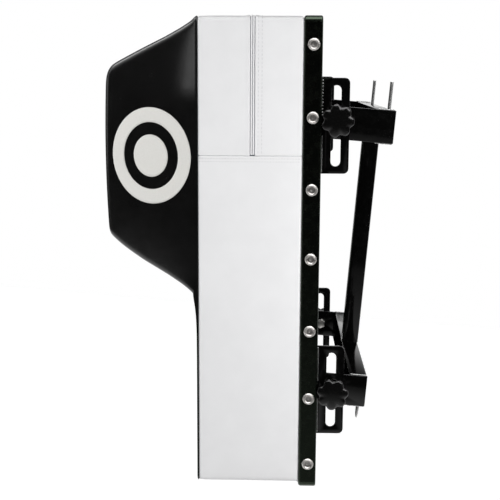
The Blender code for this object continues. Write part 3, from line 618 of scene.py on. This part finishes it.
def make_cover_front():
    """One skin over the head and the flat front, rolled back into the seam all round."""
    bm = bmesh.new()
    rings = [[bm.verts.new(point) for point in head_ring(depth)] for depth in HEAD_DEPTHS]
    cap = [[bm.verts.new(point) for point in head_ring(0, inset)] for inset in CAP_INSETS]
    join_rings(bm, rings + cap)
    bm.faces.new(cap[-1])
    last = 2 * CORNER_STEPS + ACROSS_STEPS
    base = rings[0]
    grid = hang_front(bm, base[:last + 1])
    foot = [column[-1] for column in grid[1:]]
    edge = base[last:] + [base[0]] + grid[0][1:] + foot + grid[-1][-2:0:-1]
    rolls = roll_back(bm, edge)
    shape_front(rings + cap, grid)
    turn_outwards(bm)
    corners = [i for i in range(len(base)) if near_corner(i)]
    held = rings[:2] + rings[-6:] + cap[:1] + rolls + grid[:4] + grid[-4:]
    held += [[ring[i] for i in corners] for ring in rings]
    held += [column[:2] + column[-2:] for column in grid]
    bm.verts.index_update()
    fixed = list({vert.index for row in held for vert in row})
    cover = skin("cover_front_leather", bm, BLACK_LEATHER)
    swell(cover, fixed, pressure=3.0, most=0.0045)
    thicken(cover)
    return cover


def make_head_foam():
    """The foam block inside the head, with the same sag, just under the leather."""
    bm = bmesh.new()
    rings = [[bm.verts.new(point) for point in head_ring(depth, FOAM_INSET)] for depth in FOAM_DEPTHS]
    join_rings(bm, rings)
    shape_front(rings, [])
    for vert in bm.verts:
        vert.co.y += FOAM_INSET
    bm.faces.new(rings[0])
    bm.faces.new(rings[-1])
    turn_outwards(bm)
    foam = skin("head_foam_block", bm, FOAM, PAD_FRAME)
    hand_over(foam, "pad", ["head_foam"])


def near_corner(number):
    """True for points of the four corner arcs of a head ring."""
    rest = number % (2 * CORNER_STEPS + ACROSS_STEPS + SIDE_STEPS)
    return rest <= CORNER_STEPS or 0 <= rest - CORNER_STEPS - ACROSS_STEPS <= CORNER_STEPS


def read_curve(curve, share):
    """The value of a curve of (share, value) points, straight between them."""
    for (first, low), (last, high) in zip(curve, curve[1:]):
        if share <= last:
            return low + (high - low) * max(0, share - first) / (last - first)
    return curve[-1][1]


def shape_front(rings, grid):
    """The stretched leather: it lifts off the fold, bows out in front, hangs below and sags on top."""
    middle = (HEAD_FRONT_LOW + HEAD_FRONT_HIGH) / 2
    half = (HEAD_FRONT_HIGH - HEAD_FRONT_LOW) / 2
    done = set()
    for ring in rings:
        for vert in ring:
            depth = max(0, vert.co.y + PAD_DEPTH + HEAD_REACH)
            share = depth / HEAD_REACH
            low, high = head_span(depth)
            up = vert.co.z - HEAD_BASE_LOW
            over = vert.co.z - low
            under = high - vert.co.z
            front = max(0, 1 - share) ** 2
            bow = FRONT_BOW * front * max(0, 1 - ((vert.co.z - middle) / half) ** 2)
            lift = FOLD_LIFT * math.exp((depth - HEAD_REACH) / FOLD_FADE_OUT - up / FOLD_FADE_UP)
            vert.co.y -= bow + lift
            vert.co.z -= read_curve(HEAD_BELLY, share) * math.exp(-(over / BELLY_FADE) ** 2)
            vert.co.z -= read_curve(HEAD_SAG, share) * math.exp(-(under / SAG_FADE) ** 2)
            done.add(vert)
    for column in grid:
        for vert in column:
            if vert not in done:
                down = max(0, HEAD_BASE_LOW - vert.co.z)
                vert.co.y -= FOLD_LIFT * math.exp(-(down / FOLD_FADE_DOWN) ** FOLD_ROUNDNESS)


# The white bands

def walk_band(rect, cut, way):
    """Up the right side from the seam, over the top and down the left; way -1 does the same below."""
    half, low, high, radius = rect
    side = way * (half - radius)
    edge = high - radius if way > 0 else low + radius
    turn = 0 if way > 0 else math.pi
    steps = UPPER_STEPS if way > 0 else LOWER_STEPS
    first = arc(side, edge, radius, turn)
    second = arc(-side, edge, radius, turn + math.pi / 2)
    start = [(way * half, cut + way * step) for step in BAND_ENDS]
    end = [(-way * half, cut + way * step) for step in reversed(BAND_ENDS)]
    points = start + straight(start[-1], first[0], steps) + first
    points += straight(first[-1], second[0], ACROSS_STEPS) + second
    return points + straight(second[-1], end[0], steps) + end


def inset_rect(inset, share):
    """The pad's outline, drawn in towards the tray's mouth by a share of the tuck."""
    pull = TUCK_INSET * share + inset
    top = PAD_HEIGHT + TRAY_RISE * share
    return (HALF_PAD - pull, pull - TRAY_DROP * share, top - pull, PAD_CORNER - pull)


def plain_rows(first, last, count):
    return [(y, 0.0, 0.0, False) for y, in straight((first,), (last,), count)]


def make_band(name, rows, way, cut):
    """A strip of white leather round the pad, swollen a little between its seams."""
    bm = bmesh.new()
    mesh_rows = []
    held = []
    for y, inset, share, fixed in rows:
        points = walk_band(inset_rect(inset, share), cut, way)
        row = []
        for number, (x, z) in enumerate(points):
            end = min(number, len(points) - 1 - number)
            if end < len(BAND_END_SINKS):
                x -= math.copysign(BAND_END_SINKS[end], x)
            vert = bm.verts.new((x, y, z))
            row.append(vert)
            if fixed or end < len(BAND_END_SINKS):
                held.append(vert)
        mesh_rows.append(row)
    join_rows(bm, mesh_rows)
    first = mesh_rows[0][0]
    if first.link_faces[0].normal.x * first.co.x < 0:
        bmesh.ops.reverse_faces(bm, faces=bm.faces)
    bm.verts.index_update()
    fixed = [vert.index for vert in held]
    band = skin(name, bm, WHITE_LEATHER)
    swell(band, fixed, pressure=2.0, most=0.0022)
    thicken(band)
    return band


def make_bands():
    """The three white bands. A row is y, inset, share of the tuck and whether a seam holds it."""
    above = BAND_SEAM_Z + GAP / 2
    below = BAND_SEAM_Z - GAP / 2
    front = [(SEAM_WRAP + GAP - PAD_DEPTH + y, inset, 0.0, True) for y, inset in BAND_FRONT]
    mouth = [(y - TRAY_DEPTH, 0.0, share, True) for y, share in TUCK]
    lip = [(ZIP_Y - ZIP_OPENING / 2 - away, inset, 0.0, True) for away, inset in reversed(ZIP_LIP)]
    rear_lip = [(ZIP_Y + ZIP_OPENING / 2 + away, inset, 0.0, True) for away, inset in ZIP_LIP]
    upper_front = front + plain_rows(front[-1][0], lip[0][0], 8) + lip
    upper_rear = rear_lip + plain_rows(rear_lip[-1][0], mouth[0][0], 6) + mouth
    lower = front + plain_rows(front[-1][0], mouth[0][0], 16) + mouth
    return {
        "band_upper_front": make_band("white_band_upper_front", upper_front, 1, above),
        "band_upper_rear": make_band("white_band_upper_rear", upper_rear, 1, above),
        "band_lower": make_band("white_band_lower", lower, -1, below),
    }


# Beads along lines, as stitches, zip teeth and weld ripples

def open_tree(name, given, sizes, result):
    """A tree with one geometry input, named sizes and one geometry output."""
    tree = bpy.data.node_groups.new(name, "GeometryNodeTree")
    face = tree.interface
    face.new_socket(given, in_out="INPUT", socket_type="NodeSocketGeometry")
    for label, value in sizes.items():
        face.new_socket(label, in_out="INPUT", socket_type="NodeSocketFloat").default_value = value
    face.new_socket(result, in_out="OUTPUT", socket_type="NodeSocketGeometry")
    return tree, add_node(tree, "NodeGroupInput").outputs


def close_tree(tree, points, shape, way, scale, material, result):
    """The shape at each point, turned along the given way, as real geometry with its material."""
    turn = add_node(tree, "FunctionNodeAlignRotationToVector", {"Vector": way}, axis="X")
    placed = add_node(tree, "GeometryNodeInstanceOnPoints", {
        "Points": points, "Instance": shape, "Rotation": turn.outputs[0], "Scale": scale}).outputs[0]
    real = add_node(tree, "GeometryNodeRealizeInstances", {"Geometry": placed}).outputs[0]
    inputs = {"Geometry": real, "Material": material}
    dressed = add_node(tree, "GeometryNodeSetMaterial", inputs).outputs[0]
    add_node(tree, "NodeGroupOutput", {result: dressed})


def row_tree(name, material, segments, rings):
    """Beads along each line of the input: stitches, zip teeth or weld ripples."""
    tree, given = open_tree(name, "Lines", dict(zip(BEAD_SIZES, BEADS["seam_stitches"])), "Row")
    curve = add_node(tree, "GeometryNodeMeshToCurve", {"Mesh": given["Lines"]}).outputs[0]
    inputs = {"Curve": curve, "Length": given["Pitch"]}
    spaced = add_node(tree, "GeometryNodeResampleCurve", inputs, mode="LENGTH").outputs[0]
    along = add_node(tree, "GeometryNodeInputTangent").outputs[0]
    inputs = {"Segments": segments, "Rings": rings, "Radius": 0.5}
    ball = add_node(tree, "GeometryNodeMeshUVSphere", inputs).outputs[0]
    smooth = add_node(tree, "GeometryNodeSetShadeSmooth", {"Geometry": ball}).outputs[0]
    inputs = {"X": given["Length"], "Y": given["Width"], "Z": given["Height"]}
    size = add_node(tree, "ShaderNodeCombineXYZ", inputs).outputs[0]
    lowest = combine(tree, "SUBTRACT", 1.0, given["Unevenness"])
    chance = add_node(tree, "FunctionNodeRandomValue", {"Seed": UNEVEN_SEED}, data_type="FLOAT")
    numbers = [socket for socket in chance.inputs if socket.type == "VALUE" and socket.enabled]
    tree.links.new(lowest, numbers[0])
    numbers[1].default_value = 1.0
    chosen = [socket for socket in chance.outputs if socket.enabled][0]
    inputs = {0: size, "Scale": chosen}
    scale = add_node(tree, "ShaderNodeVectorMath", inputs, operation="SCALE").outputs[0]
    close_tree(tree, spaced, smooth, along, scale, material, "Row")
    return tree


def set_inputs(modifier, values):
    """Sets the named inputs of a tree by their sockets' identifiers."""
    for item in modifier.node_group.interface.items_tree:
        if item.item_type == "SOCKET" and item.in_out == "INPUT" and item.name in values:
            modifier[item.identifier] = values[item.name]


def make_row(name, lines, tree, material, body):
    """A plain mesh of beads along the given lines of points, for its body."""
    bm = bmesh.new()
    for line in lines:
        points = [bm.verts.new(point) for point in line]
        for first, second in zip(points, points[1:]):
            bm.edges.new((first, second))
    item = skin(name, bm, material)
    set_inputs(modify(item, "NODES", node_group=tree), dict(zip(BEAD_SIZES, BEADS[name])))
    settle(item, PAD_FRAME if body == "pad" else None)
    hand_over(item, body)


def surface_of(items):
    """A search tree over the outer skin of some pieces, in the pad's frame."""
    verts = []
    faces = []
    for item in items:
        start = len(verts)
        verts += [vert.co.copy() for vert in item.data.vertices]
        faces += [[start + index for index in face.vertices] for face in item.data.polygons]
    return BVHTree.FromPolygons(verts, faces)


def drop_on(surface, point, out, reach=0.03):
    """The point of the surface that is met coming in along the outward direction."""
    hit = surface.ray_cast(Vector(point) + Vector(out) * reach, -Vector(out), 2 * reach)
    return hit[0] if hit[0] is not None else Vector(point)


def upper_line(surface, y, start):
    """A line up the right side, over the top and down the left, on the leather."""
    right, upper = HALF_PAD - PAD_CORNER, PAD_HEIGHT - PAD_CORNER
    steps = LINE_SIDE_STEPS
    side = [(HALF_PAD, start + (upper - start) * i / steps, (1, 0)) for i in range(steps + 1)]
    for turn in (0.25, 0.5, 0.75):
        way = (math.cos(math.pi / 2 * turn), math.sin(math.pi / 2 * turn))
        side.append((right + PAD_CORNER * way[0], upper + PAD_CORNER * way[1], way))
    steps = LINE_TOP_STEPS
    top = [(right * (1 - 2 * i / steps), PAD_HEIGHT, (0, 1)) for i in range(steps + 1)]
    other_side = [(-x, z, (-way[0], way[1])) for x, z, way in reversed(side)]
    line = []
    for x, z, way in side + top + other_side:
        out = Vector((way[0], 0, way[1]))
        line.append(drop_on(surface, (x, y, z), out) + out * STITCH_LIFT)
    return line


def make_zip(surface, stitch_tree):
    """The tape under the leather's lips, with a coil of teeth on each side of the middle."""
    tape = bmesh.new()
    rows = []
    for y in TAPE_ROWS:
        sink = TAPE_SINK if abs(y) > TAPE_GROOVE_HALF else TAPE_GROOVE
        points = walk_band(inset_rect(sink, 0.0), BAND_SEAM_Z + ZIP_FOOT, 1)
        rows.append([tape.verts.new((x, ZIP_Y + y, z)) for x, z in points])
    join_rows(tape, rows)
    piece = skin("zip_tape", tape, ZIP_TAPE)
    modify(piece, "SOLIDIFY", thickness=TAPE_THICKNESS, offset=-1.0)
    settle(piece, PAD_FRAME)
    hand_over(piece, "pad", ["zipper"])
    points = walk_band(inset_rect(-COIL_RISE, 0.0), BAND_SEAM_Z + COIL_FOOT, 1)
    lines = [[(x, ZIP_Y + y, z) for x, z in points] for y in COIL_ROWS]
    tree = row_tree("zip_teeth", ZIP_COIL, 8, 5)
    make_row("zip_coil", lines, tree, ZIP_COIL, "pad")
    foot = BAND_SEAM_Z + ZIP_STITCH_FOOT
    seams = [upper_line(surface, ZIP_Y + y, foot) for y in ZIP_STITCH_ROWS]
    make_row("zip_stitches", seams, stitch_tree, THREAD, "pad")


def make_seam_stitches(surface, tree):
    """Two rows below the horizontal seam, on each side."""
    first, last = SEAM_STITCH_ENDS
    places = [first + (last - first) * i / SEAM_STITCH_STEPS for i in range(SEAM_STITCH_STEPS + 1)]
    lines = []
    for side, sign in SIDES:
        out = Vector((sign, 0, 0))
        for drop in SEAM_STITCH_DROPS:
            points = [(sign * HALF_PAD, y, BAND_SEAM_Z - drop) for y in places]
            lines.append([drop_on(surface, point, out) + out * STITCH_LIFT for point in points])
    make_row("seam_stitches", lines, tree, THREAD, "pad")


# The rings printed on the head

def join_turned(bm, rings):
    """Faces between rings about an axis; a ring of one point is a pole."""
    for near, far in zip(rings, rings[1:]):
        turns = max(len(near), len(far))
        for i in range(turns):
            j = (i + 1) % turns
            if len(near) == 1:
                bm.faces.new((near[0], far[i], far[j]))
            elif len(far) == 1:
                bm.faces.new((near[i], far[0], near[j]))
            else:
                bm.faces.new((near[i], far[i], far[j], near[j]))


def lay_ring(bm, surface, centre, along, out, radii):
    """A flat ring or disc of vinyl laid on the leather."""
    inner, outer = radii
    steps = max(3, round((outer - inner) / MARK_STEP))
    rings = []
    for radius in [inner + (outer - inner) * i / steps for i in range(steps + 1)]:
        ring = []
        for i in range(MARK_TURNS if radius > TINY else 1):
            turn = 2 * math.pi * i / MARK_TURNS
            point = centre + along * radius * math.cos(turn) + Vector((0, 0, radius * math.sin(turn)))
            ring.append(bm.verts.new(drop_on(surface, point, out) + out * MARK_LIFT))
        rings.append(ring)
    join_turned(bm, rings)


def make_rings(surface):
    """The target mark on both slanted sides and, as a guess, on the front."""
    marks = []
    for side, sign in SIDES:
        along = Vector((sign * (HEAD_HALF_FRONT - HALF_PAD), -HEAD_REACH, 0)).normalized()
        out = Vector((-sign * along.y, sign * along.x, 0)).normalized()
        base = Vector((sign * HALF_PAD, -PAD_DEPTH, SIDE_MARK_Z))
        marks.append((side, base + along * SIDE_MARK_OUT, along, out))
    middle = Vector((0, -PAD_DEPTH - HEAD_REACH, FRONT_MARK_Z))
    marks.append(("front", middle, Vector((1, 0, 0)), Vector((0, -1, 0))))
    for name, centre, along, out in marks:
        bm = bmesh.new()
        lay_ring(bm, surface, centre, along, out, MARK_RING)
        lay_ring(bm, surface, centre, along, out, MARK_DISC)
        turn_outwards(bm)
        if bm.faces[0].normal.dot(out) < 0:
            bmesh.ops.reverse_faces(bm, faces=bm.faces)
        piece = skin("ring_print_" + name, bm, RING_VINYL)
        modify(piece, "SOLIDIFY", thickness=0.0002, offset=-1.0)
        settle(piece, PAD_FRAME)
        hand_over(piece, "pad")


# Hardware

def spin_profile(bm, profile, turns, shape=None):
    """A closed turned piece about X from (radius, height) pairs; shape may vary a ring's radius."""
    rings = []
    for radius, height in profile:
        if radius < TINY:
            rings.append([bm.verts.new((height, 0, 0))])
            continue
        ring = []
        for i in range(turns):
            turn = 2 * math.pi * i / turns
            reach = shape(radius, height, turn) if shape else radius
            ring.append(bm.verts.new((height, reach * math.cos(turn), reach * math.sin(turn))))
        rings.append(ring)
    join_turned(bm, rings)
    turn_outwards(bm)


def place_set(name, shape_bm, points, material):
    """Copies of one shape at (point, direction) pairs on the pad, as one plain mesh."""
    pattern = skin(name + "_pattern", shape_bm, material)
    tree, given = open_tree(name, "Points", {"Size": 1.0}, "Set")
    way = add_node(tree, "GeometryNodeInputNamedAttribute", {"Name": "way"}, data_type="FLOAT_VECTOR")
    source = add_node(tree, "GeometryNodeObjectInfo", {"Object": pattern}).outputs["Geometry"]
    close_tree(tree, given["Points"], source, way.outputs[0], given["Size"], material, "Set")
    bm = bmesh.new()
    for point, way in points:
        bm.verts.new(point)
    item = skin(name, bm, material)
    ways = item.data.attributes.new("way", "FLOAT_VECTOR", "POINT")
    for data, (point, way) in zip(ways.data, points):
        data.vector = way
    set_inputs(modify(item, "NODES", node_group=tree), {"Size": 1.0})
    settle(item, PAD_FRAME)
    bpy.data.objects.remove(pattern, do_unlink=True)
    return item


def cross_recess(radius, height, turn):
    """The drive recess is a cross; the rest of the head is round."""
    if radius > RECESS_RADIUS or height < RECESS_FLOOR:
        return radius
    return radius * (0.5 + 0.5 * abs(math.cos(2 * turn)) ** 4)


def make_side_screws():
    cup = bmesh.new()
    spin_profile(cup, CUP_PROFILE, 40)
    bmesh.ops.remove_doubles(cup, verts=cup.verts, dist=TINY)
    head = bmesh.new()
    spin_profile(head, SCREW_PROFILE, 32, cross_recess)
    spots = []
    nodes = []
    for side, sign in SIDES:
        for number, z in enumerate(SCREW_HEIGHTS, 1):
            spots.append((Vector((sign * HALF_PAD, -SCREW_FROM_BACK, z)), Vector((sign, 0, 0))))
            nodes.append("tray_screw_%s_%d" % (side, number))
    hand_over(place_set("cup_washers", cup, spots, CUP_NICKEL), "pad", nodes)
    hand_over(place_set("side_screws", head, spots, SCREW_ZINC), "pad")


def eased_copy(node, material, body, width, name=None):
    """A copy of a node with its sharp edges eased."""
    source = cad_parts[node]
    bm = bmesh.new()
    bm.from_mesh(source.data)
    bmesh.ops.transform(bm, matrix=source.matrix_world, verts=bm.verts)
    bmesh.ops.remove_doubles(bm, verts=bm.verts, dist=TINY)
    bmesh.ops.dissolve_limit(
        bm, angle_limit=FLAT_ANGLE, verts=bm.verts, edges=bm.edges, use_dissolve_boundaries=False)
    piece = skin(name or "eased_" + node, bm, material)
    modify(
        piece, "BEVEL", width=width, segments=2, limit_method="ANGLE",
        angle_limit=EDGE_ANGLE, harden_normals=False, use_clamp_overlap=True)
    settle(piece)
    piece.data.shade_flat()
    piece.data.set_sharp_from_angle(angle=SHARP_ANGLE)
    for face in piece.data.polygons:
        face.use_smooth = True
    hand_over(piece, body, [node])


def make_eased_steel():
    for side, sign in SIDES:
        eased_copy("pin_upper_" + side, PIN_ZINC, "bracket", SMALL_EASE)
    for level in ("upper", "lower"):
        for side, sign in SIDES:
            end = "%s_%s" % (level, side)
            eased_copy("ear_" + end, ARM_COAT, "pad", PLATE_EASE)
            eased_copy("arm_" + end, ARM_COAT, "bracket", PLATE_EASE)
            eased_copy("bolt_" + end, BOLT_ZINC, "bracket", BOLT_EASE)
            eased_copy("washer_" + end, BOLT_ZINC, "bracket", EASE)
        name = "eased_channel_" + level
        eased_copy(level + "_channel", ARM_COAT, "bracket", EASE, name)
    eased_copy("center_post", ARM_COAT, "bracket", EASE, "eased_post")
    eased_copy("zip_slider", BOLT_ZINC, "zip_slider", EASE)
    eased_copy("zip_pull", BOLT_ZINC, "zip_pull", SMALL_EASE)


def make_welds():
    """Ripples of weld along the ears' roots and at the ends of the channels."""
    tree = row_tree("weld_ripples", WELD_GLINT_METAL, 10, 6)
    lines = {"coarse": [], "fine": []}
    for top_kind, (low, high) in zip(("coarse", "fine"), EAR_SPANS):
        for side, sign in SIDES:
            for kind, end, way in (("fine", low, 1), (top_kind, high, -1)):
                heights = sorted(end + way * away for away in EAR_WELD_ENDS)
                lines[kind].append([(sign * (EAR_OUTER + WELD_OUT), EAR_WELD_Y, z) for z in heights])
    for kind in lines:
        make_row("ear_welds_" + kind, lines[kind], tree, WELD_GLINT_METAL, "pad")
    lines = []
    for middle in (0.0, LOWER_CHANNEL_Z):
        for side, sign in SIDES:
            for flange in (-1, 1):
                z = middle + flange * (HALF_ARM + CHANNEL_WELD_OUT)
                x = sign * (ARM_INNER + CHANNEL_WELD_OUT)
                lines.append([(x, y, z) for y in CHANNEL_WELD_ENDS])
    make_row("channel_welds", lines, tree, WELD_GLINT_METAL, "bracket")


def make_pointed_pins():
    """The lower pins, whose ends round over into the point as a drift pin's do."""
    for side, sign in SIDES:
        node = "pin_lower_" + side
        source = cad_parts[node]
        corners = [source.matrix_world @ vert.co for vert in source.data.vertices]
        middle = [(min(c[i] for c in corners) + max(c[i] for c in corners)) / 2 for i in (0, 1)]
        tip = min(c.z for c in corners) - PIN_EXTRA
        length = max(c.z for c in corners) - tip
        bm = bmesh.new()
        spin_profile(bm, PIN_POINT + ((PIN_RADIUS, length), (0.0, length)), 32)
        place = Matrix.Translation((middle[0], middle[1], tip)) @ Matrix.Rotation(-math.pi / 2, 4, "Y")
        pin = skin("pointed_pin_" + side, bm, PIN_ZINC, place)
        hand_over(pin, "bracket", [node])


def lobed(radius, height, turn):
    """Seven lobes, deepest at the rim and gone at the face's middle and the hub."""
    if height <= LOBE_FOOT:
        return radius
    growth = min(1.0, max(0.0, (radius - LOBE_START) / LOBE_GROWTH))
    wave = 0.5 - 0.5 * math.cos(KNOB_LOBES * turn)
    return radius - LOBE_DEPTH * growth * wave ** LOBE_SHARPNESS


def make_knobs():
    for level, (y, z, phase) in KNOB_PLACES.items():
        for side, sign in SIDES:
            bm = bmesh.new()
            spin_profile(bm, KNOB_PROFILE, KNOB_LOBES * LOBE_STEPS, lobed)
            turn = Matrix.Rotation(math.radians(phase), 4, "X")
            face = Matrix.Rotation(0 if sign > 0 else math.pi, 4, "Z")
            place = Matrix.Translation((sign * KNOB_INNER, y, z)) @ face @ turn
            knob = "knob_%s_%s" % (level, side)
            hand_over(skin("star_" + knob, bm, KNOB_PLASTIC, place), knob, [knob])


# Studio

def make_studio():
    """A pale floor, soft lamps, and a surround that the camera sees as plain white."""
    bm = bmesh.new()
    bmesh.ops.create_grid(bm, x_segments=8, y_segments=8, size=1)
    floor_place = Matrix.Translation((-1.75, 0, -1.45)) @ Matrix.Diagonal((2.75, 3.0, 1.0, 1.0))
    floor = skin("floor", bm, pale_floor(), floor_place)
    for name, setting in LAMPS.items():
        add_lamp(name, *setting)
    world = bpy.data.worlds.new("studio")
    SCENE.world = world
    world.use_nodes = True
    tree = world.node_tree
    tree.nodes.clear()
    ray = add_node(tree, "ShaderNodeLightPath").outputs
    way = add_node(tree, "ShaderNodeTexCoord").outputs["Generated"]
    axes = add_node(tree, "ShaderNodeSeparateXYZ", {0: way}).outputs
    mirrored = mirrored_studio(tree, way, axes)
    soft_light = soft_step(tree, axes["Z"], *SKY)
    seen = choose(tree, ray["Is Glossy Ray"], soft_light, mirrored)
    open_ray = combine(tree, "MAXIMUM", ray["Is Camera Ray"], ray["Is Transmission Ray"])
    inputs = {"Color": (1, 1, 1, 1), "Strength": choose(tree, open_ray, seen, 1.0)}
    glow = add_node(tree, "ShaderNodeBackground", inputs)
    add_node(tree, "ShaderNodeOutputWorld", {"Surface": glow.outputs[0]})


def choose(tree, share, first, second):
    """The first number where the share is 0, the second where it is 1."""
    inputs = {"Factor": share, "A": first, "B": second}
    return add_node(tree, "ShaderNodeMix", inputs, data_type="FLOAT").outputs["Result"]


def soft_step(tree, value, start, end, low, high, ease="SMOOTHSTEP"):
    """A change from one level to another, smooth unless told otherwise."""
    inputs = {"Value": value, "From Min": start, "From Max": end, "To Min": low, "To Max": high}
    return add_node(tree, "ShaderNodeMapRange", inputs, interpolation_type=ease).outputs["Result"]


def mirrored_studio(tree, way, axes):
    """What gloss sees of the studio: a white screen behind, the bright panels and the floor."""
    screen = [soft_step(tree, axes[axis], *step) for axis, *step in SCREEN]
    seen = [combine(tree, "MULTIPLY", *screen)]
    for centre, start, full, level in PANELS:
        inputs = {0: way, 1: Vector(centre).normalized()}
        facing = add_node(tree, "ShaderNodeVectorMath", inputs, operation="DOT_PRODUCT")
        seen.append(soft_step(tree, facing.outputs["Value"], start, full, 0.0, level))
    seen.append(soft_step(tree, axes["Z"], *GROUND, ease="LINEAR"))
    seen.append(soft_step(tree, axes["Z"], *HORIZON))
    return combine(tree, "MAXIMUM", *seen)


def pale_floor():
    """Matt painted board, lit evenly for the camera and for gloss as the white surround is."""
    material, tree, place = start_material(
        "matt_white_floor", Roughness=0.9, Metallic=0.0, Base_Color=linear("#F0F0F0"),
        Emission_Color=(1, 1, 1, 1))
    ray = add_node(tree, "ShaderNodeLightPath").outputs
    seen = combine(tree, "MAXIMUM", *(ray[name] for name in SEEING_RAYS))
    return feed(material, {"Emission Strength": combine(tree, "MULTIPLY", seen, FLOOR_GLOW)})


def add_lamp(name, place, target, size, power, mirrored):
    """A lamp that lights without a mirror image, or a card that shows in gloss only."""
    light = bpy.data.lights.new(name, "AREA")
    light.shape = "RECTANGLE"
    light.size, light.size_y = size
    light.energy = power
    lamp = bpy.data.objects.new(name, light)
    lamp.location = place
    lamp.rotation_euler = (Vector(target) - Vector(place)).to_track_quat("-Z", "Y").to_euler()
    lamp.visible_glossy = mirrored
    lamp.visible_diffuse = not mirrored
    SCENE.collection.objects.link(lamp)


def make_camera():
    data = bpy.data.cameras.new("photo_camera")
    data.sensor_width = 36.0
    data.lens = 71.492
    data.clip_start, data.clip_end = 0.05, 100
    camera = bpy.data.objects.new("photo_camera", data)
    camera.location = (1.79722, -0.19067, 0.07015)
    camera.rotation_euler = (1.3913, -0.08311, 1.59848)
    SCENE.collection.objects.link(camera)
    SCENE.camera = camera


def dress_nodes():
    """Materials of the nodes that stay."""
    for name, material in (("tray", TRAY_COAT), ("back_board", PLYWOOD), ("core_foam", FOAM)):
        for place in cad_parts[name].material_slots:
            place.material = material


def dress_pad():
    cover = make_cover_front()
    make_head_foam()
    bands = make_bands()
    stitch_tree = row_tree("stitches", THREAD, 8, 5)
    white = surface_of(bands.values())
    make_zip(white, stitch_tree)
    make_seam_stitches(white, stitch_tree)
    make_rings(surface_of([cover]))
    for node, piece in {"cover_front": cover, **bands}.items():
        piece.data.transform(PAD_FRAME)
        hand_over(piece, "pad", [node])


make_camera()
dress_pad()
make_side_screws()
make_eased_steel()
make_pointed_pins()
make_knobs()
make_welds()
dress_nodes()
make_studio()
SCENE.view_settings.view_transform = "Standard"
